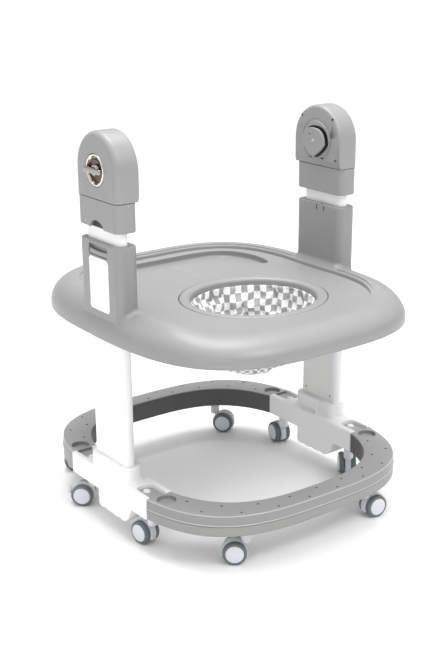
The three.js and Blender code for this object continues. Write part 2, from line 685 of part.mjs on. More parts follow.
for (const [name, front] of [["front", 1], ["rear", -1]]) {
  add(`${name}_ring_shell`, geometryOf(ringShell(front)), "ring");
  add(`${name}_ring_skirt`, geometryOf(ringSkirt(front)), "skirt");
  for (const [side, sign] of [["left", -1], ["right", 1]]) {
    const button = snapButton(sign * BUTTON.x, front * BUTTON.y);
    add(`${name}_${side}_button`, geometryOf(button), "white");
  }
}

addPair("bracket", bracket(), "white");
addPair("column", column(), "white");
addPair("column_cover", columnCover(), "cover");
addPair("head_collar", headCollar(), "head");
addPair("head_cap", headCap(), "head");
addPair("knob_bezel", knobBezel(), "chrome");
addPair("knob", knob(), "chrome");
addPair("lock_cam", lockCam(), "head");

add("tray_shell", geometryOf(trayShell()), "tray");
add("seat_ring", geometryOf(seatRing()), "tray");
add("seat_sling", geometryOf(seatSling()), "fabric");
addPair("label_plate", labelPlate(), "white");
addPair("height_lever", heightLever(), "head");

for (const { name, x, y, heading, brake } of CASTERS) {
  const caster = new THREE.Group();
  caster.position.set(x, y, 0);
  caster.rotation.z = THREE.MathUtils.degToRad(heading);
  walker.add(caster);
  add(`${name}_caster_stem`, geometryOf(casterStem()), "steel", caster);
  add(`${name}_caster_hood`, geometryOf(casterHood()), "hood", caster);
  add(`${name}_caster_wheels`, geometryOf(casterWheels()), "tyre", caster);
  if (brake) add(`${name}_caster_brake`, geometryOf(casterBrake()), "hood", caster);
}

export default walker;
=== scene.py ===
"""Baby walker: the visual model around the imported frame. Metres, +Z up, +Y the way the child faces."""

import math

import bmesh
import bpy
from mathutils import Matrix, Vector, noise


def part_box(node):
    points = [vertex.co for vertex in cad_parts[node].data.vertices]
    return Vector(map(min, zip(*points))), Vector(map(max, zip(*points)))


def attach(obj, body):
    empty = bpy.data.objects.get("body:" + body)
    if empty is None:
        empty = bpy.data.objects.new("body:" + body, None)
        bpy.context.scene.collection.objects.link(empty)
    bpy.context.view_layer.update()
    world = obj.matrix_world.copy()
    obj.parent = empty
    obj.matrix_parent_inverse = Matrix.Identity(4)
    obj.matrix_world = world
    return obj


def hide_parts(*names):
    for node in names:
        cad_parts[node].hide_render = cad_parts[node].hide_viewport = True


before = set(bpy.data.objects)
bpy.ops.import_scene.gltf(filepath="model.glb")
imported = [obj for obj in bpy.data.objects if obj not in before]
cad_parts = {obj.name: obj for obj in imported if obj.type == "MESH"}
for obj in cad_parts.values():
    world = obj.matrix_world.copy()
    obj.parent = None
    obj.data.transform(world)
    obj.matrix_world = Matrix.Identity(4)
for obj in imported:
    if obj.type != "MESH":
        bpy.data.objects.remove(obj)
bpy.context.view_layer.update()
scene = bpy.context.scene

# ---------------------------------------------------------------- camera

# Metres, and the lens and sensor in millimetres.
CAMERA_PLACE = Vector((-1.5022, -2.0161, 1.2258))
CAMERA_YAW = math.radians(-36.6455)
CAMERA_PITCH = math.radians(-18.694)
CAMERA_ROLL = math.radians(0.322)
CAMERA_LENS = 65.04
CAMERA_SENSOR = 36.0


def make_camera():
    """A camera that looks down at the walker from its rear left."""
    data = bpy.data.cameras.new("camera")
    data.lens = CAMERA_LENS
    data.sensor_width = CAMERA_SENSOR
    data.clip_end = 50.0
    camera = bpy.data.objects.new("camera", data)
    scene.collection.objects.link(camera)
    upright = Matrix.Rotation(math.radians(90) + CAMERA_PITCH, 4, "X")
    rolled = Matrix.Rotation(-CAMERA_ROLL, 4, "Z")
    turned = Matrix.Rotation(CAMERA_YAW, 4, "Z")
    camera.matrix_world = Matrix.Translation(CAMERA_PLACE) @ turned @ upright @ rolled
    scene.camera = camera


make_camera()

# ---------------------------------------------------------------- sizes shared with the frame

GAP = 0.0003  # between pieces that rest on each other
PLAY = 0.0006  # round a piece that slides or lies in a recess
BEYOND = 0.005  # how far a cutter reaches past what it cuts
RING_STEPS = 256
TRAY_STEPS = 256
SEAT_STEPS = 160
SQUARE = 0.0142  # one check of the sling's fabric


def centre(node):
    low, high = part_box(node)
    return (low + high) / 2


ring_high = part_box("front_ring_shell")[1]
tray_low, tray_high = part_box("tray_shell")
seat_low, seat_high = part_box("seat_ring")
bracket_low, bracket_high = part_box("right_bracket")
column_low, column_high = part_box("right_column")
collar_low, collar_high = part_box("right_head_collar")
cap_low, cap_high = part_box("right_head_cap")
cover_low, cover_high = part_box("right_column_cover")
label_low, label_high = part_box("right_label_plate")
lever_low, lever_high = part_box("right_height_lever")
bezel_low, bezel_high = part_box("right_knob_bezel")
knob_low, knob_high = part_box("right_knob")
cam_low, cam_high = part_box("right_lock_cam")
sling_low, sling_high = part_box("seat_sling")
skirt_low, skirt_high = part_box("front_ring_skirt")

RING_TOP = ring_high.z
RING_SEAM = skirt_high.z
RING_BOTTOM = skirt_low.z
BRACKET_END = bracket_high.y
TRAY_FLOOR = 0.489  # the flat middle of the tray's upper face
TRAY_BOTTOM = tray_low.z
TRAY_LIFT = 0.010  # how far the lip along the tray's edge stands above its floor
TOWER_TOP = tray_high.z
LOCK_Z = centre("right_knob_bezel").z

# The ring's half size along X if the brackets did not cut it off, and the half sizes of its opening.
RING_HALF_X = 0.316
RING_HOLE = (0.260, 0.300)

# ---------------------------------------------------------------- outlines


def superellipse(half_x, half_y, power, centre_y=0.0):
    """outline(angle, offset) is the point that lies offset outside the curve."""
    def outline(angle, offset=0.0):
        across = abs(math.cos(angle)) / half_x
        along = abs(math.sin(angle)) / half_y
        radius = (across ** power + along ** power) ** (-1 / power) + offset
        return radius * math.cos(angle), centre_y + radius * math.sin(angle)
    return outline


def arc(u, v, radius, start, end, steps):
    """Points on an arc; the angles are in degrees."""
    points = []
    for i in range(steps + 1):
        angle = math.radians(start + (end - start) * i / steps)
        points.append((u + radius * math.cos(angle), v + radius * math.sin(angle)))
    return points


def quarter(steps):
    """Sine and cosine at even steps from 0 to 90 degrees."""
    angles = [math.radians(90 * i / steps) for i in range(steps + 1)]
    return [(math.sin(angle), math.cos(angle)) for angle in angles]


def rounded_rect(u0, u1, v0, v1, corner, steps=8):
    """outline(offset) is the rectangle with round corners, grown by offset."""
    def outline(offset=0.0):
        c = max(corner + offset, 0.0002)
        left, right = u0 - offset + c, u1 + offset - c
        near, far = v0 - offset + c, v1 + offset - c
        return (arc(right, near, c, -90, 0, steps) + arc(right, far, c, 0, 90, steps)
                + arc(left, far, c, 90, 180, steps) + arc(left, near, c, 180, 270, steps))
    return outline


def rounded_levels(low, high, low_radius, high_radius, steps=5):
    """Offsets and heights that round both ends of a stack."""
    levels = [(-low_radius * (1 - s), low + low_radius * (1 - c)) for s, c in quarter(steps)]
    return levels + [(-high_radius * (1 - c), high - high_radius * (1 - s)) for s, c in quarter(steps)]


def smoothstep(x, low, high):
    """0 up to low, 1 from high on, with a smooth rise between them."""
    t = min(max((x - low) / (high - low), 0.0), 1.0)
    return t * t * (3 - 2 * t)


def placed(section, angle):
    """The points of a section, each given as an outline, how far outside it and a height."""
    return [(*outline(angle, offset), z) for outline, offset, z in section]


ring_outer = superellipse(RING_HALF_X, ring_high.y, 3.2)
ring_inner = superellipse(*RING_HOLE, 2.9)
tray_outer = superellipse(tray_high.x, tray_high.y, 3.13)
seat_middle = centre("seat_ring").y
seat_outer = superellipse(seat_high.x, (seat_high.y - seat_low.y) / 2, 2.0, seat_middle)

# ---------------------------------------------------------------- mesh code

ALONG_Z = Matrix.Identity(4)
ALONG_X = Matrix(((0, 0, 1, 0), (1, 0, 0, 0), (0, 1, 0, 0), (0, 0, 0, 1)))
ALONG_Y = Matrix(((1, 0, 0, 0), (0, 0, 1, 0), (0, 1, 0, 0), (0, 0, 0, 1)))
AGAINST_X = ALONG_X @ Matrix.Scale(-1, 4, (0, 0, 1))


def at(x, y, z, axis=ALONG_Z):
    return Matrix.Translation((x, y, z)) @ axis


def skin(rings, path_closed=False):
    """Faces between rings of points, with end caps unless the path closes on itself."""
    count = len(rings[0])
    faces = []
    for i in range(len(rings) if path_closed else len(rings) - 1):
        a, b = i * count, ((i + 1) % len(rings)) * count
        for j in range(count):
            k = (j + 1) % count
            faces.append((a + j, a + k, b + k, b + j))
    if not path_closed:
        faces.append(tuple(range(count - 1, -1, -1)))
        faces.append(tuple(range((len(rings) - 1) * count, len(rings) * count)))
    return [Vector(p) for ring in rings for p in ring], faces


def stack(outline, levels, place=ALONG_Z):
    """A solid whose outline grows by each level's offset at its height."""
    return skin([[place @ Vector((u, v, h)) for u, v in outline(offset)] for offset, h in levels])


def prism(points, low, high, place=ALONG_Z):
    """A straight solid with the same outline from one end to the other."""
    return stack(lambda offset: points, [(0, low), (0, high)], place)


def lathe(profile, steps=40, place=ALONG_Z, wrap=False):
    """A profile of (radius, height) turned about the local Z axis."""
    count = len(profile)
    points = []
    for i in range(steps):
        a = 2 * math.pi * i / steps
        points += [place @ Vector((r * math.cos(a), r * math.sin(a), h)) for r, h in profile]
    faces = []
    for i in range(steps):
        a, b = i * count, ((i + 1) % steps) * count
        for j in range(count if wrap else count - 1):
            k = (j + 1) % count
            faces.append((a + j, a + k, b + k, b + j))
    return points, faces


def rod(radius, low, high, edge=0.0):
    """A lathe profile of a plain round bar with rounded rims."""
    if edge == 0:
        return [(0, low), (radius, low), (radius, high), (0, high)]
    upper = arc(radius - edge, high - edge, edge, 0, 90, 3)
    lower = arc(radius - edge, low + edge, edge, -90, 0, 3)
    return [(0, low)] + lower + upper + [(0, high)]


def merge(*parts):
    points, faces = [], []
    for part_points, part_faces in parts:
        base = len(points)
        points += part_points
        faces += [tuple(base + i for i in face) for face in part_faces]
    return points, faces


def flipped(part):
    """The part's mirror image on the other side of the walker."""
    points, faces = part
    return [Vector((-p.x, p.y, p.z)) for p in points], [tuple(reversed(f)) for f in faces]


def build(name, *parts):
    """One new object made of parts, with stray points merged and its faces pointing out."""
    points, faces = merge(*parts)
    mesh = bpy.data.meshes.new(name)
    mesh.from_pydata([tuple(p) for p in points], [], faces)
    work = bmesh.new()
    work.from_mesh(mesh)
    bmesh.ops.remove_doubles(work, verts=work.verts, dist=2e-6)
    bmesh.ops.dissolve_degenerate(work, edges=work.edges, dist=1e-6)
    bmesh.ops.recalc_face_normals(work, faces=work.faces)
    work.to_mesh(mesh)
    work.free()
    obj = bpy.data.objects.new(name, mesh)
    scene.collection.objects.link(obj)
    return obj


def combine(body, operation, *parts):
    """Joins parts to body or cuts them from it."""
    other = build("cutter", *parts)
    modifier = body.modifiers.new("combine", "BOOLEAN")
    modifier.operation = operation
    modifier.solver = "EXACT"
    modifier.object = other
    modifier.use_self = True
    result = bpy.data.meshes.new_from_object(body.evaluated_get(bpy.context.evaluated_depsgraph_get()))
    body.modifiers.clear()
    body.data = result
    bpy.data.objects.remove(other)
    return body


def mirrored(obj, name):
    """A new object that is the mirror image of obj."""
    mesh = obj.data.copy()
    mesh.transform(Matrix.Scale(-1, 4, (1, 0, 0)))
    mesh.flip_normals()
    copy = bpy.data.objects.new(name, mesh)
    scene.collection.objects.link(copy)
    return copy


def finish_piece(obj, body, material, replaces=(), bevel=0.0, sharp=40):
    """Shading, material and the frame's bookkeeping for one piece."""
    mesh = obj.data
    mesh.materials.clear()
    mesh.materials.append(material)
    mesh.shade_smooth()
    mesh.set_sharp_from_angle(angle=math.radians(sharp))
    if bevel:
        rounding = obj.modifiers.new("edges", "BEVEL")
        rounding.width = bevel
        rounding.segments = 2
        rounding.limit_method = "ANGLE"
        rounding.angle_limit = math.radians(sharp)
        rounding.use_clamp_overlap = True
        rounding.harden_normals = False
    weighted = obj.modifiers.new("flats", "WEIGHTED_NORMAL")
    weighted.keep_sharp = True
    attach(obj, body)
    if replaces:
        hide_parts(*replaces)
    return obj


def finish_pair(right, name, body, material, node=None, bevel=0.0, sharp=40):
    """A right-hand piece and its mirror image; body and node may hold {side}."""
    left = mirrored(right, f"left_{name}")
    right.name = f"right_{name}"
    for side, obj in (("right", right), ("left", left)):
        nodes = [node.format(side=side)] if node else []
        finish_piece(obj, body.format(side=side), material, nodes, bevel, sharp)


# ---------------------------------------------------------------- materials


def new_material(name):
    material = bpy.data.materials.new(name)
    material.use_nodes = True
    tree = material.node_tree
    return material, tree, tree.nodes["Principled BSDF"]


def node(tree, kind, **settings):
    """A new node; a setting is an input's value if it has that input, or else a property."""
    made = tree.nodes.new(kind)
    for key, value in settings.items():
        if key in made.inputs:
            made.inputs[key].default_value = value
        else:
            setattr(made, key, value)
    return made


def noise_at(tree, scale, detail=3.0):
    """Noise over the object's own coordinates."""
    place = tree.nodes.new("ShaderNodeTexCoord")
    texture = node(tree, "ShaderNodeTexNoise", Scale=scale, Detail=detail)
    tree.links.new(place.outputs["Object"], texture.inputs["Vector"])
    return texture.outputs["Fac"]


def ramp(tree, source, *stops):
    """Turns a value into a colour; each stop is a position and a colour."""
    made = tree.nodes.new("ShaderNodeValToRGB")
    elements = made.color_ramp.elements
    while len(elements) < len(stops):
        elements.new(0.5)
    for element, (position, color) in zip(elements, stops):
        element.position = position
        element.color = (*color, 1.0)
    tree.links.new(source, made.inputs["Fac"])
    return made.outputs["Color"]


def spread(tree, source, low, high):
    """Stretches a value from 0 to 1 over low to high."""
    made = node(tree, "ShaderNodeMapRange", **{"To Min": low, "To Max": high})
    tree.links.new(source, made.inputs["Value"])
    return made.outputs["Result"]


def tinted(color, share):
    return tuple(min(c * share, 1.0) for c in color)


def rubbed(tree, color_output, color, amount):
    """Lightens worn outer edges a little."""
    shape = tree.nodes.new("ShaderNodeNewGeometry")
    edge = ramp(tree, shape.outputs["Pointiness"], (0.50, (0, 0, 0)), (0.60, (amount,) * 3))
    mixed = node(tree, "ShaderNodeMix", data_type="RGBA")
    tree.links.new(edge, mixed.inputs["Factor"])
    tree.links.new(color_output, mixed.inputs[6])
    mixed.inputs[7].default_value = (*tinted(color, 1.3), 1.0)
    return mixed.outputs[2]


def bumped(tree, shader, height, strength, distance):
    bump = node(tree, "ShaderNodeBump", Strength=strength, Distance=distance)
    tree.links.new(height, bump.inputs["Height"])
    tree.links.new(bump.outputs["Normal"], shader.inputs["Normal"])


def plastic(name, color, roughness, grain=1400.0, relief=0.00005, variation=0.02, wear=0.25):
    """Moulded plastic: faint mottling, fine spark-eroded grain and slightly rubbed edges."""
    material, tree, shader = new_material(name)
    mottle = ramp(tree, noise_at(tree, 9.0), (0.3, tinted(color, 1 - variation)),
                  (0.7, tinted(color, 1 + variation)))
    tree.links.new(rubbed(tree, mottle, color, wear), shader.inputs["Base Color"])
    polish = spread(tree, noise_at(tree, 45.0), roughness - 0.05, roughness + 0.06)
    tree.links.new(polish, shader.inputs["Roughness"])
    bumped(tree, shader, noise_at(tree, grain, 2.0), 0.35, relief)
    shader.inputs["IOR"].default_value = 1.49
    return material


def metal(name, color, roughness, scratch=0.04):
    """Polished or brushed metal with a faintly uneven shade and gloss."""
    material, tree, shader = new_material(name)
    shader.inputs["Metallic"].default_value = 1.0
    shade = ramp(tree, noise_at(tree, 60.0), (0.3, tinted(color, 0.94)), (0.7, color))
    tree.links.new(shade, shader.inputs["Base Color"])
    polish = spread(tree, noise_at(tree, 220.0), roughness, roughness + scratch)
    tree.links.new(polish, shader.inputs["Roughness"])
    bumped(tree, shader, noise_at(tree, 500.0), 0.1, 0.00002)
    return material


def checked_fabric(name, light, dark, square):
    """A woven check; the UV map is in metres along the cloth."""
    material, tree, shader = new_material(name)
    place = tree.nodes.new("ShaderNodeTexCoord")
    check = node(tree, "ShaderNodeTexChecker", Scale=1 / square)
    check.inputs["Color1"].default_value = (*light, 1.0)
    check.inputs["Color2"].default_value = (*dark, 1.0)
    tree.links.new(place.outputs["UV"], check.inputs["Vector"])
    fibres = ramp(tree, noise_at(tree, 260.0, 4.0), (0.3, (0.90,) * 3), (0.7, (1.0,) * 3))
    mixed = node(tree, "ShaderNodeMix", data_type="RGBA", blend_type="MULTIPLY")
    mixed.inputs["Factor"].default_value = 1.0
    tree.links.new(check.outputs["Color"], mixed.inputs[6])
    tree.links.new(fibres, mixed.inputs[7])
    tree.links.new(mixed.outputs[2], shader.inputs["Base Color"])
    threads = []
    for direction in ("X", "Y"):
        wave = node(tree, "ShaderNodeTexWave", Scale=420.0, Distortion=0.4)
        wave.bands_direction = direction
        tree.links.new(place.outputs["UV"], wave.inputs["Vector"])
        threads.append(wave.outputs["Fac"])
    weave = node(tree, "ShaderNodeMath", operation="ADD")
    tree.links.new(threads[0], weave.inputs[0])
    tree.links.new(threads[1], weave.inputs[1])
    bumped(tree, shader, weave.outputs["Value"], 0.3, 0.00015)
    polish = spread(tree, noise_at(tree, 90.0), 0.78, 0.92)
    tree.links.new(polish, shader.inputs["Roughness"])
    shader.inputs["Sheen Weight"].default_value = 0.25
    return material


TRAY_GREY = plastic("tray_plastic", (0.252, 0.253, 0.250), 0.38)
HEAD_GREY = plastic("head_plastic", (0.262, 0.262, 0.261), 0.38)
RING_GREY = plastic("ring_plastic", (0.245, 0.245, 0.250), 0.42)
# Painted light: a lighter copy of the ring's grey for its upward faces, which stand in for light from
# above.
RING_TOP_PAINTED_LIGHT = plastic("ring_top_painted_light", (0.340, 0.340, 0.347), 0.46)
# Painted highlight: a pale, glossier grey that draws thin light lines on the ring's outer edge and seam
# bead.
RING_PAINTED_HIGHLIGHT = plastic("ring_painted_highlight", (0.47, 0.47, 0.475), 0.32)
# Painted shade: a near-black grey for the ring's inner wall, which would otherwise be in shadow.
RING_INSIDE_PAINTED_SHADE = plastic("ring_inside_painted_shade", (0.085, 0.085, 0.088), 0.50)
SKIRT_GREY = plastic("skirt_plastic", (0.258, 0.256, 0.252), 0.45)
WHITE = plastic("white_plastic", (0.82, 0.82, 0.815), 0.34, variation=0.008, wear=0.1)
COLUMN_WHITE = plastic("column_white", (0.83, 0.83, 0.83), 0.22, relief=0.00002, variation=0.006,
                       wear=0.1)
COVER_GREY = plastic("cover_plastic", (0.76, 0.76, 0.75), 0.5)
TYRE = plastic("tyre_rubber", (0.125, 0.145, 0.142), 0.50, relief=0.00012, variation=0.08)
HUB = plastic("hub_plastic", (0.66, 0.665, 0.70), 0.36, variation=0.012)
HOOD = plastic("caster_plastic", (0.62, 0.63, 0.65), 0.38, variation=0.02)
# Painted shadow: near black, for thin plates at the bottoms of recesses, slots and holes.
PAINTED_SHADOW = plastic("painted_shadow", (0.03, 0.03, 0.032), 0.6)
CHROME = metal("chrome", (0.84, 0.82, 0.79), 0.05)
# Painted reflection: a dark brown metal for the knob's dish, standing in for the dark reflections in it.
DISH_PAINTED_REFLECTION = metal("dish_painted_reflection", (0.115, 0.088, 0.078), 0.10)
STEEL = metal("steel", (0.62, 0.63, 0.64), 0.24, 0.1)
KNOB_CHROME = metal("knob_chrome", (0.40, 0.37, 0.35), 0.14)
DARK_STEEL = metal("dark_steel", (0.10, 0.10, 0.105), 0.40, 0.1)
CHECK = checked_fabric("sling_fabric", (0.93, 0.93, 0.93), (0.36, 0.36, 0.365), SQUARE)

# ---------------------------------------------------------------- small repeated pieces


def screw_head(radius, place, sunk=0.0004):
    """A small domed screw head, lying on the local plane Z = 0."""
    height = radius * 0.45
    dome = [(0, height), (radius * 0.55, height * 0.93), (radius * 0.9, height * 0.5),
            (radius, 0.0), (radius, -sunk), (0, -sunk)]
    return lathe(dome, 16, place)


# ---------------------------------------------------------------- base ring

RING_WALL = 0.003
ROUND = 0.0022
INNER_ROUND = 0.002
BEAD = 0.0013
SCREW_SUNK = 0.0022
BUTTON_BORE = 0.0083
BULKHEAD = (0.2585, 0.3085)
CUP = {"x": 0.2754, "y": 0.1712, "radius": 0.0195, "depth": 0.009}
TONGUE = {"left": 0.262, "right": 0.300, "from": 0.092, "bottom": 0.100, "top": 0.1215, "corner": 0.013}


def ring_section(angle):
    """One closed section of the ring's upper moulding, which is open below."""
    foot = RING_SEAM + GAP
    edge_inset, ceiling = 0.002, RING_TOP - RING_WALL - 0.002
    section = [(ring_outer, u, v) for u, v in arc(-BEAD, foot + BEAD, BEAD, -90, 80, 6)]
    section.append((ring_outer, -BEAD, foot + 2 * BEAD + 0.0004))
    section += [(ring_outer, u, v) for u, v in arc(-ROUND - edge_inset, RING_TOP - ROUND, ROUND, 0, 90, 6)]
    section += [(ring_inner, u, v)
                for u, v in arc(INNER_ROUND, RING_TOP - INNER_ROUND, INNER_ROUND, 90, 180, 5)]
    section += [(ring_inner, 0.0, RING_BOTTOM), (ring_inner, RING_WALL, RING_BOTTOM),
                (ring_inner, RING_WALL, ceiling), (ring_outer, -RING_WALL, ceiling),
                (ring_outer, -RING_WALL, foot)]
    return placed(section, angle)


def skirt_section(angle):
    """One closed section of the lower moulding, which closes the ring from below."""
    inset, foot = 0.0012, 0.004
    back, lip = -inset - RING_WALL, RING_WALL + GAP
    section = [(ring_outer, u - inset, v) for u, v in arc(-foot, RING_BOTTOM + foot, foot, -90, 0, 5)]
    section += [(ring_outer, -inset, RING_SEAM - 0.0016), (ring_outer, -inset - 0.0012, RING_SEAM - 0.0004),
                (ring_outer, -inset - 0.0014, RING_SEAM), (ring_outer, back, RING_SEAM),
                (ring_outer, back, RING_BOTTOM + RING_WALL), (ring_inner, lip, RING_BOTTOM + RING_WALL),
                (ring_inner, lip, RING_BOTTOM)]
    return placed(section, angle)


def hoop(section, steps):
    """A solid that carries a section once round the walker's middle."""
    rings = [section(2 * math.pi * i / steps) for i in range(steps)]
    return skin(rings, path_closed=True)


def keep_beyond(obj, front, distance):
    """Keeps what lies past distance towards the front or the rear, and closes the cut."""
    work = bmesh.new()
    work.from_mesh(obj.data)
    everything = work.verts[:] + work.edges[:] + work.faces[:]
    bmesh.ops.bisect_plane(work, geom=everything, plane_co=(0, front * distance, 0),
                           plane_no=(0, front, 0), clear_inner=True)
    rim = [edge for edge in work.edges if edge.is_boundary]
    bmesh.ops.holes_fill(work, edges=rim, sides=0)
    bmesh.ops.recalc_face_normals(work, faces=work.faces)
    work.to_mesh(obj.data)
    work.free()


def ring_screw_places(front):
    """Two staggered rows of screws along the arc's top face."""
    places = []
    first, step = 33, 6.33
    for i in range(19):
        angle = math.radians(first + i * step)
        outer, inner = ring_outer(angle), ring_inner(angle)
        share = 0.28 if i % 2 else 0.74
        x, y = (inner[k] + (outer[k] - inner[k]) * share for k in (0, 1))
        if y > BRACKET_END + 0.05:
            places.append((x, front * y))
    return places


def paint_ring_light_and_shade(shell):
    """Paints shade on the inner wall, a highlight on the outer edge and seam bead, and light on the top
    faces.
    """
    shell.data.materials.append(RING_INSIDE_PAINTED_SHADE)
    shell.data.materials.append(RING_PAINTED_HIGHLIGHT)
    shell.data.materials.append(RING_TOP_PAINTED_LIGHT)
    for face in shell.data.polygons:
        x, y, z = face.center
        edge = Vector(ring_inner(math.atan2(y, x)))
        on_wall = abs(Vector((x, y)).length - edge.length) < 0.0009
        # The inner wall gets the painted shade.
        if on_wall and abs(face.normal.z) < 0.3 and z < RING_TOP - INNER_ROUND:
            face.material_index = 1
        inset = Vector(ring_outer(math.atan2(y, x))).length - Vector((x, y)).length
        on_bead = z < RING_SEAM + GAP + 2 * BEAD and inset < 0.0016
        on_edge = z > RING_TOP - ROUND and inset < ROUND + 0.003 and 0.3 < face.normal.z < 0.87
        # The rounded outer edge and the top of the seam bead get the painted highlight.
        if face.normal.z > 0.15 and (on_bead or on_edge):
            face.material_index = 2
        # Upward faces on the top and in the cups get the painted light.
        elif face.normal.z > 0.9 and z > RING_TOP - CUP["depth"] - ROUND:
            face.material_index = 3


def cup_recess():
    """The profile of a round cup sunk into the ring's top face."""
    floor, radius = RING_TOP - CUP["depth"], CUP["radius"]
    edge, foot = 0.0015, 0.003
    lip = arc(radius + edge, RING_TOP - edge, edge, 180, 90, 4)
    base = arc(radius - foot, floor + foot, foot, -90, 0, 4)
    return [(0, floor)] + base + lip + [(radius + edge, RING_TOP + BEYOND), (0, RING_TOP + BEYOND)]


def ring_arc(name, front):
    """The front or rear arc of the ring, with its tongues, cups, screws and skirt."""
    shell = build(f"{name}_ring_shell_fine", hoop(ring_section, RING_STEPS))
    start = BRACKET_END + GAP
    end = start + 0.004
    keep_beyond(shell, front, start)
    well = rod(CUP["radius"] + RING_WALL, RING_TOP - CUP["depth"] - RING_WALL, RING_TOP - 0.0015)
    tongues, cutters = [], []
    for side in (-1, 1):
        x0, x1 = sorted((side * TONGUE["left"], side * TONGUE["right"]))
        y0, y1 = sorted((front * TONGUE["from"], front * (end + 0.02)))
        shape = rounded_rect(x0, x1, y0, y1, TONGUE["corner"], 8)
        tongues.append(stack(shape, rounded_levels(TONGUE["bottom"], TONGUE["top"], 0.0005, 0.0012, 3)))
        x0, x1 = sorted(side * x for x in BULKHEAD)
        y0, y1 = sorted((front * start, front * end))
        bulkhead = rounded_rect(x0, x1, y0, y1, 0.0005, 1)
        tongues.append(prism(bulkhead(), RING_SEAM + GAP, RING_TOP - 0.0012))
        cup = at(side * CUP["x"], front * CUP["y"], 0)
        tongues.append(lathe(well, 48, cup))
        cutters.append(lathe(cup_recess(), 48, cup))
        button = centre(f"{name}_{'left' if side < 0 else 'right'}_button")
        cutters.append(lathe(rod(BUTTON_BORE, 0.05, RING_TOP + BEYOND), 32, at(button.x, button.y, 0)))
    screw_floor = RING_TOP - SCREW_SUNK
    dimple = [(0, screw_floor), (0.0027, screw_floor), (0.0031, RING_TOP + 0.0002),
              (0.0031, RING_TOP + BEYOND), (0, RING_TOP + BEYOND)]
    cutters += [lathe(dimple, 16, at(x, y, 0)) for x, y in ring_screw_places(front)]
    for part in tongues:
        combine(shell, "UNION", part)
    combine(shell, "DIFFERENCE", *cutters)
    finish_piece(shell, "base", RING_GREY, [f"{name}_ring_shell"], sharp=35)
    paint_ring_light_and_shade(shell)
    skirt = build(f"{name}_ring_skirt_fine", hoop(skirt_section, RING_STEPS))
    keep_beyond(skirt, front, start)
    finish_piece(skirt, "base", SKIRT_GREY, [f"{name}_ring_skirt"], sharp=35)
    heads = [screw_head(0.0024, at(x, y, screw_floor)) for x, y in ring_screw_places(front)]
    finish_piece(build(f"{name}_ring_screws", *heads), "base", DARK_STEEL)


def snap_button(name):
    """A round button with a domed top."""
    low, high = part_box(name)
    middle = (low + high) / 2
    radius = (high.x - low.x) / 2
    dome = 0.0042
    profile = [(0, low.z), (radius, low.z), (radius, high.z - dome)]
    profile += [(radius * c ** 0.6, high.z - dome + dome * s) for s, c in quarter(7)[1:-1]]
    profile.append((0, high.z))
    button = build(f"{name}_fine", lathe(profile, 40, at(middle.x, middle.y, 0)))
    finish_piece(button, name, WHITE, [name])


for name, front in (("front", 1), ("rear", -1)):
    ring_arc(name, front)
    for side in ("left", "right"):
        snap_button(f"{name}_{side}_button")

# ---------------------------------------------------------------- brackets and columns

COLLAR = {"left": 0.262, "right": 0.312, "half": 0.072, "corner": 0.024}
COLLAR_TOP = bracket_high.z
SHOULDER_TOP = 0.130
# The belly's outline in Y and Z, with a waved lower edge.
BELLY_WAVE = [(0.034 - 0.0075 * i, 0.0412 + (0.0026 if i % 4 == 2 else 0.0)) for i in range(12)]
BELLY = ([(0.044, 0.092), (0.044, 0.049), (0.040, 0.0425)] + BELLY_WAVE
         + [(-0.058, 0.0415), (-0.068, 0.046), (-0.076, 0.057), (-0.084, 0.074), (-0.090, 0.092)])


def corner_places(low, high, inset_y, inset_z):
    """Y and Z of four places inset from a box's corners."""
    return [(y, z) for y in (low.y + inset_y, high.y - inset_y)
            for z in (low.z + inset_z, high.z - inset_z)]


COVER_CORNERS = corner_places(cover_low, cover_high, 0.008, 0.010)
COVER_SCREW_SUNK = 0.0009


def column_outline(offset):
    """The column's plan, with half-round ends."""
    middle = (column_low.x + column_high.x) / 2
    half_x = (column_high.x - column_low.x) / 2
    half_y = column_high.y
    return rounded_rect(middle - half_x, middle + half_x, -half_y, half_y, half_x - 0.0001, 10)(offset)


def eased(points, steps=4, share=0.28):
    """Cuts the corners of a polygon with short curves."""
    result = []
    for i, point in enumerate(points):
        before, after = Vector(points[i - 1]), Vector(points[(i + 1) % len(points)])
        here = Vector(point)
        start, end = here.lerp(before, share), here.lerp(after, share)
        for k in range(steps + 1):
            t = k / steps
            result.append(tuple((1 - t) ** 2 * start + 2 * t * (1 - t) * here + t * t * end))
    return result


def belly_outline(offset):
    """The belly's outline, scaled about its middle to round the ends of its stack."""
    points = eased(BELLY)
    middle = sum((Vector(p) for p in points), Vector((0, 0))) / len(points)
    return [tuple(middle + (Vector(p) - middle) * (1 + offset / 0.05)) for p in points]


def collar_outline(flare, inset=0.0):
    """The collar's plan: it flares on every side but the outer one, which is flush with the bracket."""
    shape = rounded_rect(COLLAR["left"] - flare, COLLAR["right"], -COLLAR["half"] - flare,
                         COLLAR["half"] + flare, COLLAR["corner"] + 0.5 * flare, 10)
    return shape(inset)


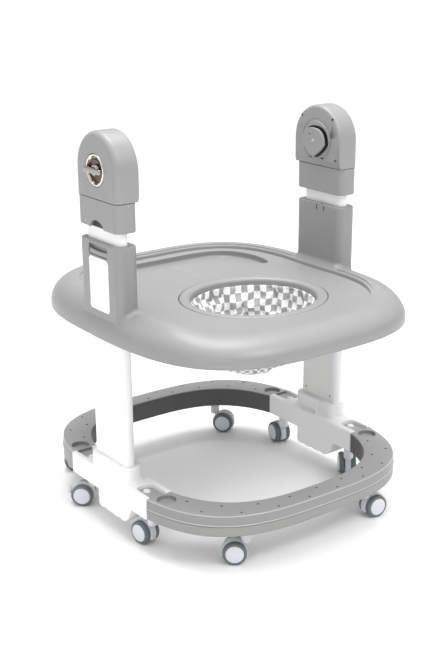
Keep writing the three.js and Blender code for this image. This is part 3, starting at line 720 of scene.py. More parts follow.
def bracket():
    """The side bracket: a block with a belly, a collar for the column and pockets for the ring."""
    x0, x1 = bracket_low.x, bracket_high.x
    end = BRACKET_END
    side = rounded_rect(x0, x1, -end, end, 0.004, 6)
    body = build("bracket", stack(side, rounded_levels(RING_BOTTOM, SHOULDER_TOP, 0.003, 0.0045, 6)))
    belly = stack(belly_outline, rounded_levels(x0 + 0.003, x1 - 0.003, 0.003, 0.003, 4), ALONG_X)
    flare = 0.007
    levels = [(flare, 0.1), (flare, SHOULDER_TOP - 0.0002)]
    levels += [(flare * (1 - s), SHOULDER_TOP + flare * (1 - c)) for s, c in quarter(7)[1:]]
    rings = [[Vector((u, v, h)) for u, v in collar_outline(grow)] for grow, h in levels]
    for inset, h in rounded_levels(COLLAR_TOP - 0.004, COLLAR_TOP, 0.0, 0.0025, 4)[5:]:
        rings.append([Vector((u, v, h)) for u, v in collar_outline(0, inset)])
    rib = [(COLLAR["left"] + 0.002, COLLAR_TOP - 0.003), (COLLAR["left"] - 0.0008, COLLAR_TOP - 0.006),
           (COLLAR["left"] - 0.010, SHOULDER_TOP - 0.001), (COLLAR["left"] + 0.002, SHOULDER_TOP - 0.001)]
    combine(body, "UNION", belly)
    combine(body, "UNION", skin(rings))
    combine(body, "UNION", prism(rib, -0.0210, -0.0155, ALONG_Y))
    cutters = []
    for front in (-1, 1):
        near, far = TONGUE["from"] - PLAY, end + 0.03
        y0, y1 = sorted((front * near, front * far))
        pocket = rounded_rect(TONGUE["left"] - PLAY, TONGUE["right"] + PLAY, y0, y1, TONGUE["corner"], 8)
        mouth = 0.0015
        rim = [(mouth * (1 - c), SHOULDER_TOP - mouth + mouth * s) for s, c in quarter(3)]
        cutters.append(stack(pocket, [(0, 0.096)] + rim + [(mouth, SHOULDER_TOP + BEYOND)]))
    bore = prism(column_outline(GAP), 0.09, COLLAR_TOP + BEYOND)
    combine(body, "DIFFERENCE", *cutters, bore)
    return body


def bracket_pads():
    """Two small rubber pads under the belly."""
    pad = rod(0.009, 0.0375, 0.0415, 0.001)
    return build("pads", *[lathe(pad, 28, at(centre("right_bracket").x, y, 0)) for y in (-0.034, 0.022)])


def column():
    """The column, with a shallow recess for its cover."""
    levels = rounded_levels(column_low.z, column_high.z, 0.0, 0.001, 3)
    body = build("column", stack(column_outline, levels))
    room = rounded_rect(cover_low.y - GAP, cover_high.y + GAP, cover_low.z - GAP, cover_high.z + GAP,
                        0.0015, 3)
    recess = prism(room(), cover_low.x - BEYOND, cover_high.x + GAP, ALONG_X)
    return combine(body, "DIFFERENCE", recess)


def column_cover():
    """The panel on the column's inner face, with four sunk screw holes."""
    panel = rounded_rect(cover_low.y, cover_high.y, cover_low.z, cover_high.z, 0.0015, 3)
    body = build("cover", stack(panel, rounded_levels(cover_low.x, cover_high.x, 0.0006, 0.0, 3), ALONG_X))
    face = cover_low.x
    hole = [(0, face - BEYOND), (0.0026, face - BEYOND), (0.0026, face + 0.0002),
            (0.0019, face + COVER_SCREW_SUNK), (0, face + COVER_SCREW_SUNK)]
    return combine(body, "DIFFERENCE", *[lathe(hole, 20, at(0, y, z, ALONG_X)) for y, z in COVER_CORNERS])


def cover_screws():
    x = cover_low.x + COVER_SCREW_SUNK
    heads = [screw_head(0.0024, at(x, y, z, AGAINST_X), 0.0) for y, z in COVER_CORNERS]
    return build("cover_screws", *heads)


finish_pair(bracket(), "bracket_fine", "base", WHITE, "{side}_bracket", 0.0007, 38)
finish_pair(bracket_pads(), "bracket_pads", "base", TYRE)
finish_pair(column(), "column_fine", "base", COLUMN_WHITE, "{side}_column")
finish_pair(column_cover(), "cover_fine", "base", COVER_GREY, "{side}_column_cover")
finish_pair(cover_screws(), "cover_screws", "base", DARK_STEEL)

# ---------------------------------------------------------------- heads

LOCK_AXIS = at(0, 0, LOCK_Z, ALONG_X)
HEAD_CORNER = 0.017
SEAM_Z = collar_high.z
SEAM = 0.0011
STEP_Z, STEP_TOP = 0.722, 0.736
CAP_FACE = cap_low.x + 0.0015  # the cap's inner face; the boss stands proud of it
CAP_HOLES = ((-0.050, 0.826), (0.050, 0.826))
CAP_SLOTS = (0.017, -0.019, -0.062)
CAP_RADIUS = cap_high.y
CAP_BEVEL = 0.014
BOSS_RADIUS = 0.042
BORE = 0.0073
NOTCH = {"y": 0.002, "radius": 0.026, "depth": 0.009}


def head_collar():
    """The lower half of the head, bored for the column and notched at its lower edge."""
    shape = rounded_rect(collar_low.x, collar_high.x, collar_low.y, collar_high.y, HEAD_CORNER, 10)
    levels = rounded_levels(collar_low.z, SEAM_Z - SEAM + GAP, 0.002, 0.0008, 4)
    body = build("collar", stack(shape, levels))
    half_round = arc(NOTCH["y"], collar_low.z, NOTCH["radius"], 0, 180, 24)
    flat = [(y, collar_low.z + (z - collar_low.z) * 16 / 26) for y, z in half_round]
    below = collar_low.z - BEYOND
    arch = [(NOTCH["y"] + NOTCH["radius"], below)] + flat + [(NOTCH["y"] - NOTCH["radius"], below)]
    notch = prism(arch, collar_high.x - NOTCH["depth"], collar_high.x + BEYOND, ALONG_X)
    return combine(body, "DIFFERENCE", notch, prism(column_outline(GAP), below, SEAM_Z + BEYOND))


def notch_shadow():
    """A painted shadow on the floor of the half-round notch in the collar's lower edge."""
    half_round = arc(NOTCH["y"], collar_low.z, NOTCH["radius"] - 0.0005, 0, 180, 24)
    arch = [(y, collar_low.z + (z - collar_low.z) * 0.6) for y, z in half_round]
    floor = collar_high.x - NOTCH["depth"]
    return build("notch_shadow", prism(arch, floor + 0.0001, floor + 0.0012, ALONG_X))


def cap_outline(offset):
    """The head's face: a half round over straight sides, running below the seam to be trimmed."""
    radius = CAP_RADIUS + offset
    points = arc(0, cap_high.z - CAP_RADIUS, radius, 0, 180, 48)
    return points + [(-radius, SEAM_Z - 0.04), (radius, SEAM_Z - 0.04)]


def head_cap():
    """The upper half of the head, with its boss, pocket, bore, groove, holes and slots."""
    x0 = CAP_FACE
    body = build("cap", stack(cap_outline, rounded_levels(x0, cap_high.x, 0.007, CAP_BEVEL, 8), ALONG_X))
    boss = [(0, cap_low.x), (BOSS_RADIUS - 0.0015, cap_low.x), (BOSS_RADIUS, x0), (BOSS_RADIUS, x0 + 0.004),
            (0, x0 + 0.004)]
    groove = [(0.045, x0 - BEYOND), (0.0475, x0 - BEYOND), (0.0470, x0 + 0.0007), (0.0455, x0 + 0.0007)]
    under = [(x0 - 0.02, SEAM_Z - 0.06), (collar_low.x, SEAM_Z - 0.06), (collar_low.x, STEP_Z),
             (x0 - 0.0005, STEP_TOP), (x0 - 0.02, STEP_TOP)]
    floor = rounded_rect(collar_low.x - 0.001, 0.4, -0.1, 0.1, 0.001, 1)
    combine(body, "UNION", lathe(boss, 64, LOCK_AXIS))
    combine(body, "DIFFERENCE", prism(under, -0.1, 0.1, ALONG_Y))
    combine(body, "DIFFERENCE", prism(floor(), SEAM_Z - 0.07, SEAM_Z + SEAM / 2))
    combine(body, "DIFFERENCE", lathe(rod(0.0333, bezel_low.x - GAP, 0.33), 64, LOCK_AXIS))
    combine(body, "DIFFERENCE", lathe(rod(BORE, 0.24, 0.32), 32, LOCK_AXIS))
    combine(body, "DIFFERENCE", lathe(groove, 64, LOCK_AXIS, wrap=True))
    hole = rod(0.0035, x0 - BEYOND, x0 + 0.006)
    cutters = [lathe(hole, 20, at(0, y, z, ALONG_X)) for y, z in CAP_HOLES]
    cutters += [prism(cap_slot(y)(), x0 - BEYOND, x0 + 0.004, ALONG_X) for y in CAP_SLOTS]
    cutters.append(prism(cam_outline(0.0035), x0 - BEYOND, x0 + 0.006, ALONG_X))
    combine(body, "DIFFERENCE", *cutters)
    neck = [(BORE, cap_low.x), (0.0135, cap_low.x), (0.0135, x0 + 0.008), (BORE, x0 + 0.008)]
    return combine(body, "UNION", lathe(neck, 40, LOCK_AXIS, wrap=True))


def cap_slot(y):
    return rounded_rect(y - 0.0045, y + 0.0045, STEP_TOP + 0.0008, STEP_TOP + 0.0040, 0.0012, 2)


def cap_shadows():
    """Painted shadow on the floors of the cap's holes, slots and cam recess."""
    x0 = CAP_FACE
    floor = rod(0.0034, x0 + 0.0045, x0 + 0.0059)
    floors = [lathe(floor, 20, at(0, y, z, ALONG_X)) for y, z in CAP_HOLES]
    floors += [prism(cap_slot(y)(-0.0001), x0 + 0.0026, x0 + 0.0039, ALONG_X) for y in CAP_SLOTS]
    floors.append(prism(cam_outline(0.0034), x0 + 0.0048, x0 + 0.0059, ALONG_X))
    neck = lathe(rod(0.0137, x0 - BEYOND, x0 + 0.02), 40, LOCK_AXIS)
    return combine(build("cap_shadows", *floors), "DIFFERENCE", neck)


def knob_bezel():
    """The bright rim and slope of the dish round the knob."""
    floor, rim = bezel_low.x, bezel_high.x
    radius = bezel_high.y
    lip = arc(radius - 0.0022, rim - 0.0022, 0.0022, 0, 180, 8)
    dish = [(radius - 0.0052, floor + 0.0040), (radius - 0.0060, floor + 0.0022),
            (0.018, floor + 0.0010), (0.0076, floor + 0.0008)]
    profile = [(0.0076, floor), (radius, floor)] + lip + dish
    return build("bezel", lathe(profile, 80, LOCK_AXIS, wrap=True))


def bezel_dish():
    """The floor of the dish, in a dark metal that paints its dark reflections, with two shallow rings
    turned in it.
    """
    floor = bezel_low.x + 0.0008
    profile = [(0.0078, floor), (0.0258, floor), (0.0258, floor + 0.0020), (0.0250, floor + 0.0026),
               (0.0225, floor + 0.0014), (0.0205, floor + 0.0020), (0.0190, floor + 0.0012),
               (0.0125, floor + 0.0009), (0.0078, floor + 0.0012)]
    return build("dish", lathe(profile, 72, LOCK_AXIS, wrap=True))


def knob():
    """The T-bar grip on its hub and spindle."""
    back = knob_high.x - 0.007
    hub_low = bezel_low.x + 0.0026
    spindle = [(0, knob_low.x), (0.007, knob_low.x), (0.007, hub_low), (0.0115, hub_low),
               (0.012, hub_low + 0.0008), (0.0105, back + 0.001), (0, back + 0.001)]
    body = build("knob", lathe(spindle, 48, LOCK_AXIS))
    half_y, half_z = knob_high.y, 0.0055
    grip = rounded_rect(-half_y, half_y, LOCK_Z - half_z, LOCK_Z + half_z, 0.0054, 8)
    bar = stack(grip, rounded_levels(back, knob_high.x, 0.0015, 0.0024, 5), ALONG_X)
    return combine(body, "UNION", bar)


def cam_outline(offset):
    """A plectrum: broad round top and a blunt lower tip."""
    half, blunt = cam_high.y + offset, 0.004
    top, tip, widest = LOCK_Z + 0.028 + offset, LOCK_Z - 0.035 - offset, LOCK_Z - 0.006
    narrow = 0.76 * half
    curves = [((blunt, tip), (narrow, tip + 0.014), (half, widest)),
              ((half, widest), (half - 0.001, top), (0, top)),
              ((0, top), (0.001 - half, top), (-half, widest)),
              ((-half, widest), (-narrow, tip + 0.014), (-blunt, tip))]
    points = []
    for start, middle, end in curves:
        for k in range(12):
            t = k / 12
            points.append(tuple((1 - t) ** 2 * s + 2 * t * (1 - t) * m + t * t * e
                                for s, m, e in zip(start, middle, end)))
    return points + [(-blunt, tip)]


def lock_cam():
    """The plate on the head's inner face, with a screw seat and a small slot above it."""
    face, plate = cam_low.x, cam_low.x + 0.005
    body = build("cam", stack(cam_outline, rounded_levels(face, plate, 0.0014, 0.0006, 4), ALONG_X))
    combine(body, "UNION", lathe(rod(0.012, plate - 0.001, cam_high.x), 40, LOCK_AXIS))
    slot = rounded_rect(0.0065, 0.0125, LOCK_Z + 0.0115, LOCK_Z + 0.0145, 0.001, 3)
    seat = lathe(rod(0.0048, face - BEYOND, face + 0.0012), 32, LOCK_AXIS)
    socket = lathe(rod(BORE, knob_low.x - GAP, 0.26), 32, LOCK_AXIS)
    cut = prism(slot(), face - BEYOND, face + 0.003, ALONG_X)
    return combine(body, "DIFFERENCE", cut, seat, socket)


def cam_screw():
    facing = at(cam_low.x + 0.0012, 0, LOCK_Z, AGAINST_X)
    dome = [(0, 0.0022), (0.0022, 0.0020), (0.0038, 0.0009), (0.0042, 0), (0, 0)]
    return build("cam_screw", lathe(dome, 28, facing))


finish_pair(head_collar(), "collar_fine", "base", HEAD_GREY, "{side}_head_collar", 0.0005)
finish_pair(notch_shadow(), "notch_shadow", "base", PAINTED_SHADOW)
finish_pair(head_cap(), "cap_fine", "base", HEAD_GREY, "{side}_head_cap")
finish_pair(cap_shadows(), "cap_shadows", "base", PAINTED_SHADOW)
finish_pair(knob_bezel(), "bezel_fine", "base", CHROME, "{side}_knob_bezel")
finish_pair(bezel_dish(), "bezel_dish", "base", DISH_PAINTED_REFLECTION)
finish_pair(knob(), "knob_fine", "{side}_lock", KNOB_CHROME, "{side}_knob")
finish_pair(lock_cam(), "cam_fine", "{side}_lock", HEAD_GREY, "{side}_lock_cam", 0.0004)
finish_pair(cam_screw(), "cam_screw", "{side}_lock", STEEL)

# ---------------------------------------------------------------- tray

TOWER_SLOTS = (0.002, -0.022)
TOWER = {"left": 0.262, "right": 0.312, "half": 0.074, "corner": 0.016, "bottom": 0.445}
TOWER_FOOT = 0.011  # radius of the fillet where the tower meets the tray
TRAY_WALL = 0.0035
TRAY_SKIN = 0.0065  # thickness of the tray's top, so that it also holds the groove
SHOULDER = 0.062
SHOULDER_Z = 0.448
SEAT_LEDGE = 0.483
# The raised lip from its crest inwards: distance in from the edge, share of the lift, share of the groove.
LIP = [(0.0645, 0.99, 0), (0.0660, 0.93, 0), (0.0672, 0.64, 0), (0.0735, 0.54, 0), (0.0746, 0.40, 0.5),
       (0.0752, 0.04, 1), (0.0776, 0, 1), (0.0786, 0, 0.3), (0.0794, 0, 0)]
GROOVE = 0.0026
# The sunken crescent lies between two curves; its ends are rounded over some degrees of its sweep.
CRESCENT_OUTER = (0.212, 0.263, 5.0)
CRESCENT_INNER = (0.186, 0.196, 2.0)
CRESCENT_FLOOR = 0.474
CRESCENT_FROM, CRESCENT_ROUNDING = 25.0, 14.0
CRESCENT_END_RADIUS = 0.21
FINGER_POCKET = (-0.035, 0.035, 0.604, 0.627, 0.004)
FINGER_POCKET_BACK = 0.3045
LABEL_CORNER = 0.008


def frontness(angle):
    """1 along the front and the sides of the tray, easing to 0 round the rear."""
    return smoothstep(math.sin(angle), -0.80, -0.55)


def tray_section(angle):
    """One closed section of the tray: over its upper face to the seat's opening and back below."""
    rise = TRAY_LIFT * frontness(angle)
    groove = GROOVE * min(frontness(angle) * 6, 1.0)
    crest, edge = TRAY_FLOOR + rise - SHOULDER_Z, 0.0015
    section = [(tray_outer, -TRAY_WALL, TRAY_BOTTOM)]
    section += [(tray_outer, u, v) for u, v in arc(-edge, TRAY_BOTTOM + edge, edge, -90, 0, 3)]
    section += [(tray_outer, -SHOULDER * (1 - c), SHOULDER_Z + crest * s) for s, c in quarter(16)]
    section += [(tray_outer, -offset, TRAY_FLOOR + share * rise - depth * groove)
                for offset, share, depth in LIP]
    under_ledge = SEAT_LEDGE - TRAY_WALL
    section += [(seat_outer, 0.010, TRAY_FLOOR), (seat_outer, 0.0014, TRAY_FLOOR),
                (seat_outer, PLAY, TRAY_FLOOR - 0.0008), (seat_outer, PLAY, SEAT_LEDGE),
                (seat_outer, -0.008, SEAT_LEDGE), (seat_outer, -0.008, under_ledge),
                (seat_outer, 0.006, under_ledge), (tray_outer, -0.083, TRAY_FLOOR - TRAY_SKIN)]
    inner_crest = TRAY_FLOOR + rise - TRAY_SKIN - SHOULDER_Z
    for degrees in (90, 70, 50, 30, 0):
        a = math.radians(degrees)
        section.append((tray_outer, -TRAY_WALL - (SHOULDER - TRAY_WALL) * (1 - math.cos(a)),
                        SHOULDER_Z + inner_crest * math.sin(a)))
    return placed(section, angle)


def crescent_outline(margin):
    """The crescent's plan, grown by margin, with half-round ends."""
    outer, inner = superellipse(*CRESCENT_OUTER), superellipse(*CRESCENT_INNER)
    first = CRESCENT_FROM - math.degrees(margin / CRESCENT_END_RADIUS)
    steps = 60
    points = []
    for edge, walk in ((1, range(steps + 1)), (-1, range(steps - 1, 0, -1))):
        for i in walk:
            share = 0.5 - 0.5 * math.cos(math.pi * i / steps)
            degrees = first + share * (180 - 2 * first)
            angle = math.radians(degrees)
            from_end = min(degrees - first, 180 - first - degrees)
            fullness = math.sqrt(max(1 - (1 - min(from_end / CRESCENT_ROUNDING, 1)) ** 2, 0))
            o, n = Vector(outer(angle)), Vector(inner(angle))
            middle = (o + n) / 2
            width = ((o - n).length / 2 + margin) * fullness
            points.append(tuple(middle + middle.normalized() * edge * width))
    return points


def crescent_levels():
    """Margins and heights that round the crescent's foot and its upper edge."""
    foot, edge = 0.005, 0.002
    levels = [(-foot * (1 - s), CRESCENT_FLOOR + foot * (1 - c)) for s, c in quarter(5)]
    levels += [(edge * (1 - c), TRAY_FLOOR - edge + edge * s) for s, c in quarter(4)]
    return levels + [(edge, TRAY_FLOOR + 0.03)]


def tower_outline(flare):
    """The tower's plan; a flare widens it on all sides but the outer one."""
    t = TOWER
    return rounded_rect(t["left"] - flare, t["right"], -t["half"] - flare, t["half"] + flare,
                        t["corner"] + 0.4 * flare, 10)(0.0)


def tray_height(x, y):
    """Height of the tray's upper face over a point of its plan."""
    angle = math.atan2(y, x)
    inside = Vector(tray_outer(angle)).length - math.hypot(x, y)
    share = min(max(inside / SHOULDER, 0.0), 1.0)
    rise = TRAY_LIFT * frontness(angle)
    shoulder = SHOULDER_Z + (TRAY_FLOOR + rise - SHOULDER_Z) * math.sqrt(share * (2 - share))
    return shoulder - rise * smoothstep(inside, SHOULDER, LIP[-1][0])


def tower():
    """The tower's skin; its foot flares out to meet the tray's curved upper face."""
    rings = [[Vector((u, v, TOWER["bottom"])) for u, v in tower_outline(TOWER_FOOT)]]
    for s, c in quarter(8):
        flare, lift = TOWER_FOOT * (1 - s), TOWER_FOOT * (1 - c)
        rings.append([Vector((u, v, tray_height(u, v) + lift)) for u, v in tower_outline(flare)])
    top = rounded_levels(TRAY_FLOOR + 0.03, TOWER_TOP, 0.0, 0.003, 5)
    plan = rounded_rect(TOWER["left"], TOWER["right"], -TOWER["half"], TOWER["half"], TOWER["corner"], 10)
    rings += [[Vector((u, v, h)) for u, v in plan(offset)] for offset, h in top]
    return skin(rings)


def tower_cutters():
    """The column's way through the tower, the label's recess, the finger pocket and the two slots."""
    inner, outer = TOWER["left"], TOWER["right"]
    label = rounded_rect(label_low.y - PLAY, label_high.y + PLAY, label_low.z - PLAY, label_high.z + PLAY,
                         LABEL_CORNER, 8)
    pocket = rounded_rect(*FINGER_POCKET, 5)
    parts = [prism(column_outline(PLAY), 0.43, TOWER_TOP + BEYOND),
             prism(label(), outer - 0.0024, outer + BEYOND, ALONG_X),
             prism(pocket(), FINGER_POCKET_BACK, outer + BEYOND, ALONG_X)]
    parts += [prism(tower_slot(y)(), inner - BEYOND, inner + 0.004, ALONG_X) for y in TOWER_SLOTS]
    return merge(*parts)


def tower_slot(y):
    return rounded_rect(y - 0.0019, y + 0.0019, TOWER_TOP - 0.0145, TOWER_TOP - 0.0035, 0.001, 2)


def tower_shadows():
    """Painted shadow on the floors of the two slots under the tower's top edge."""
    inner = TOWER["left"]
    floors = [prism(tower_slot(y)(-0.0001), inner + 0.0024, inner + 0.0039, ALONG_X) for y in TOWER_SLOTS]
    return build("tower_shadows", *floors)


def tower_bump():
    """A low bump on the tower's top edge, under the head."""
    shape = rounded_rect(-0.012, 0.019, TOWER_TOP - 0.003, TOWER_TOP + 0.002, 0.0015, 3)
    return stack(shape, rounded_levels(TOWER["left"], TOWER["left"] + 0.006, 0.0006, 0.0006, 2), ALONG_X)


def tray():
    """The tray moulding with its two towers and the crescent."""
    body = build("tray_fine", hoop(tray_section, TRAY_STEPS))
    bucket = [(0.003, CRESCENT_FLOOR - 0.0035), (0.0035, TRAY_FLOOR - 0.001)]
    combine(body, "UNION", stack(crescent_outline, bucket))
    combine(body, "DIFFERENCE", stack(crescent_outline, crescent_levels()))
    combine(body, "UNION", tower(), flipped(tower()))
    combine(body, "UNION", tower_bump(), flipped(tower_bump()))
    combine(body, "DIFFERENCE", tower_cutters(), flipped(tower_cutters()))
    finish_piece(body, "tray", TRAY_GREY, ["tray_shell"], sharp=35)


def seat_section(angle):
    """One closed section of the seat ring: a crowned band that drops into the tray's opening."""
    floor, foot = TRAY_FLOOR, seat_low.z + 0.0333
    crown = [(-0.0006, floor - 0.003), (-0.0012, floor - 0.0006), (-0.0030, floor + 0.0010),
             (-0.0065, floor + 0.0018), (-0.0110, floor + 0.0021), (-0.0160, floor + 0.0016),
             (-0.0202, floor + 0.0002), (-0.0228, floor - 0.0022), (-0.0240, floor - 0.0060)]
    section = [(0.0, foot)] + crown
    section += [(-0.0240, seat_low.z), (-0.0210, seat_low.z), (-0.0210, foot)]
    return [(*seat_outer(angle, offset), z) for offset, z in section]


LABEL_CORNERS = corner_places(label_low, label_high, 0.0085, 0.0085)
LABEL_SCREW_X = label_high.x - 0.0011


def label_plate():
    """The blank plate on the tower, with a raised border and four screw holes."""
    shape = rounded_rect(label_low.y, label_high.y, label_low.z, label_high.z, LABEL_CORNER, 8)
    body = build("label", stack(shape, rounded_levels(label_low.x, label_high.x, 0.0, 0.0006, 3), ALONG_X))
    combine(body, "DIFFERENCE", prism(shape(-0.005), label_high.x - 0.0003, 0.33, ALONG_X))
    hole = rod(0.0024, LABEL_SCREW_X, 0.33)
    return combine(body, "DIFFERENCE", *[lathe(hole, 20, at(0, y, z, ALONG_X)) for y, z in LABEL_CORNERS])


def label_screws():
    heads = [screw_head(0.0019, at(LABEL_SCREW_X, y, z, ALONG_X), 0.0) for y, z in LABEL_CORNERS]
    return build("label_screws", *heads)


def height_lever():
    """A slim flap in the finger pocket; its upper side dips in the middle."""
    x0, x1 = lever_low.x, lever_high.x
    z0, z1 = lever_low.z, lever_high.z
    section = [(x0, z0), (x1 - 0.002, z0), (x1 - 0.0005, z0 + 0.001), (x1, z0 + 0.004), (x1, z1 - 0.0015),
               (x1 - 0.0006, z1 - 0.0003), (x1 - 0.0018, z1), (x1 - 0.0028, z1 - 0.002),
               (x1 - 0.0032, z0 + 0.006), (x0, z0 + 0.004)]
    rings = []
    for i in range(25):
        y = lever_low.y + (lever_high.y - lever_low.y) * i / 24
        bow = 0.0022 * (1 - (y / lever_high.y) ** 2)
        rings.append([Vector((x, y, z - (bow if z > z0 + 0.0045 else 0))) for x, z in section])
    return build("lever", skin(rings))


tray()
finish_pair(tower_shadows(), "tower_shadows", "tray", PAINTED_SHADOW)
seat_ring = build("seat_ring_fine", hoop(seat_section, SEAT_STEPS))
finish_piece(seat_ring, "tray", TRAY_GREY, ["seat_ring"], sharp=50)
finish_pair(label_plate(), "label_fine", "tray", WHITE, "{side}_label_plate")
finish_pair(label_screws(), "label_screws", "tray", STEEL)
finish_pair(height_lever(), "lever_fine", "{side}_height_lever", HEAD_GREY,
            "{side}_height_lever")

# ---------------------------------------------------------------- sling

SLING_AROUND, SLING_DOWN = 184, 56
CHECKS_AROUND = 60
CLOTH = 0.0012
SLING_MIDDLE = (sling_high.y + sling_low.y) / 2
PANEL = (CHECKS_AROUND * SQUARE, 0.220)
LEG = {"x": 0.064, "y": -0.050, "z": 0.380, "half": (0.0405, 0.045)}


def sling_point(angle, depth_share):
    """A point of the hanging cloth before its folds are made."""
    depth = math.sin(depth_share * math.pi / 2)
    width = math.sqrt(max(1 - depth ** 2.6, 0)) * (1 - 0.12 * depth)
    half_x = (sling_high.x - sling_low.x) / 2 - 0.002
    half_y = (sling_high.y - sling_low.y) / 2 - 0.002
    drop = sling_high.z - depth * (sling_high.z - sling_low.z - 0.008)
    return Vector((half_x * width * math.cos(angle), SLING_MIDDLE + half_y * width * math.sin(angle), drop))


def in_leg_hole(point):
    """Whether a point lies within the slanted leg hole of its side."""
    side = 1 if point.x > 0 else -1
    across = (point.y - LEG["y"]) / LEG["half"][1]
    up = (point.z - LEG["z"] + side * (point.x - side * LEG["x"])) / math.sqrt(2) / LEG["half"][0]
    clear_of_middle = side * point.x > 0.012
    return clear_of_middle and across ** 2 + up ** 2 < 1


def fold(point, angle, share):
    """Gathers of the cloth: soft pleats from the rim that break up lower down."""
    hang = math.sin(min(share * 5.0, 1.0) * math.pi / 2)
    waves = math.sin(21 * angle + 4.5 * noise.noise(point * 12)) * (1 - share)
    broad = noise.noise(point * 19 + Vector((3.1, 0, 0)))
    creases = 1 - abs(noise.noise(point * 34 + Vector((0, 7.7, 0)))) * 3
    return hang * (0.0042 * waves + 0.0140 * broad + 0.0060 * creases)


def wobble(point, amount):
    """How far the cloth has slipped along its own face, away from its seamed rim."""
    return [0.007 * amount * noise.noise(point * 13 + Vector((0, 0, offset))) for offset in (2.3, 9.1)]


def make_sling():
    """The cloth as a grid of faces, open at the leg holes, with its UV map in metres along it."""
    work = bmesh.new()
    grid = []
    for j in range(SLING_DOWN + 1):
        share = 0.985 * j / SLING_DOWN
        row = []
        for i in range(SLING_AROUND):
            angle = 2 * math.pi * i / SLING_AROUND
            point = sling_point(angle, share)
            inward = Vector((-point.x, SLING_MIDDLE - point.y, 0)).normalized()
            row.append(work.verts.new(point + inward * fold(point, angle, share)))
        grid.append(row)
    tip = work.verts.new(sling_point(0, 1.0))
    uv = work.loops.layers.uv.new("cloth")
    for j in range(SLING_DOWN + 1):
        for i in range(SLING_AROUND):
            k = (i + 1) % SLING_AROUND
            if j < SLING_DOWN:
                corners = [grid[j][i], grid[j][k], grid[j + 1][k], grid[j + 1][i]]
                places = [(i, j), (i + 1, j), (i + 1, j + 1), (i, j + 1)]
            else:
                corners = [grid[j][i], grid[j][k], tip]
                places = [(i, j), (i + 1, j), (i + 0.5, j + 1)]
            middle = sum((c.co for c in corners), Vector()) / len(corners)
            if in_leg_hole(middle):
                continue
            face = work.faces.new(corners)
            for loop, (u, v) in zip(face.loops, places):
                shift = wobble(loop.vert.co, min(v / 8, 1.0))
                loop[uv].uv = (u / SLING_AROUND * PANEL[0] + shift[0],
                               v / SLING_DOWN * PANEL[1] + shift[1])
    loose = [v for v in work.verts if not v.link_faces]
    bmesh.ops.delete(work, geom=loose, context="VERTS")
    bmesh.ops.recalc_face_normals(work, faces=work.faces)
    mesh = bpy.data.meshes.new("sling_cloth")
    work.to_mesh(mesh)
    work.free()
    sling = bpy.data.objects.new("sling_cloth", mesh)
    scene.collection.objects.link(sling)
    return sling


def crumple(sling, frames=16, most=0.012):
    """Lets the cloth hang with a little spare length, held at its rim and round the leg holes."""
    start = [v.co.copy() for v in sling.data.vertices]
    work = bmesh.new()
    work.from_mesh(sling.data)
    held = sorted({v.index for e in work.edges if e.is_boundary for v in e.verts})
    work.free()
    sling.vertex_groups.new(name="held").add(held, 1.0, "REPLACE")
    cloth = sling.modifiers.new("cloth", "CLOTH")
    cloth.settings.quality = 5
    cloth.settings.mass = 0.15
    cloth.settings.tension_stiffness = 18
    cloth.settings.compression_stiffness = 18
    cloth.settings.bending_stiffness = 0.15
    cloth.settings.shrink_min = -0.09
    cloth.settings.vertex_group_mass = "held"
    cloth.collision_settings.use_collision = False
    cloth.settings.effector_weights.gravity = 0.35
    cloth.point_cache.frame_start, cloth.point_cache.frame_end = 1, frames
    for step in range(1, frames + 1):
        scene.frame_set(step)
    evaluated = sling.evaluated_get(bpy.context.evaluated_depsgraph_get())
    moved = [v.co.copy() for v in evaluated.data.vertices]
    sling.modifiers.remove(cloth)
    for vertex, before, after in zip(sling.data.vertices, start, moved):
        shift = after - before
        if shift.length > most:
            shift *= most / shift.length
        vertex.co = before + shift
    scene.frame_set(1)


def leg_hems(sling):
    """A bound edge round each leg hole, following the cloth's own border."""
    work = bmesh.new()
    work.from_mesh(sling.data)
    below_rim = sling_high.z - 0.02
    border = [e for e in work.edges if e.is_boundary and max(v.co.z for v in e.verts) < below_rim]
    neighbours = {}
    for edge in border:
        a, b = edge.verts
        neighbours.setdefault(a.index, []).append(b.index)
        neighbours.setdefault(b.index, []).append(a.index)
    places = {v.index: v.co.copy() for v in work.verts}
    work.free()
    parts, seen = [], set()
    for first in sorted(neighbours):
        if first in seen or len(neighbours[first]) != 2:
            continue
        loop, here, last = [first], neighbours[first][0], first
        while here != first and len(neighbours.get(here, [])) == 2:
            loop.append(here)
            seen.add(here)
            last, here = here, next(n for n in neighbours[here] if n != last)
        seen.add(first)
        points = [places[i] for i in loop]
        for _ in range(6):
            points = [(points[i - 1] + points[i] * 2 + points[(i + 1) % len(points)]) / 4
                      for i in range(len(points))]
        if len(points) > 12:
            parts.append(tube_along(points, 0.0024, 8))
    return build("leg_hems", *parts)


def tube_along(points, radius, sides):
    """A closed round tube through a loop of points."""
    middle = sum(points, Vector()) / len(points)
    rings = []
    for i, point in enumerate(points):
        forward = (points[(i + 1) % len(points)] - points[i - 1]).normalized()
        out = point - middle
        out = (out - forward * out.dot(forward)).normalized()
        up = forward.cross(out)
        rings.append([point + (out * math.cos(a) + up * math.sin(a)) * radius
                      for a in (2 * math.pi * k / sides for k in range(sides))])
    return skin(rings, path_closed=True)


sling = make_sling()
crumple(sling)
hems = leg_hems(sling)
sling.data.materials.append(CHECK)
sling.data.shade_smooth()
thick = sling.modifiers.new("cloth_thickness", "SOLIDIFY")
thick.thickness = CLOTH
thick.offset = 0
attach(sling, "tray")
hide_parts("seat_sling")
finish_piece(hems, "tray", COVER_GREY, sharp=80)

# ---------------------------------------------------------------- casters

CASTERS = sorted(n[: -len("_caster_stem")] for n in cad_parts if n.endswith("_caster_stem"))
WHEEL_RADIUS = 0.025
HOOD_RADIUS = 0.0275
HOOD_HALF = 0.0067


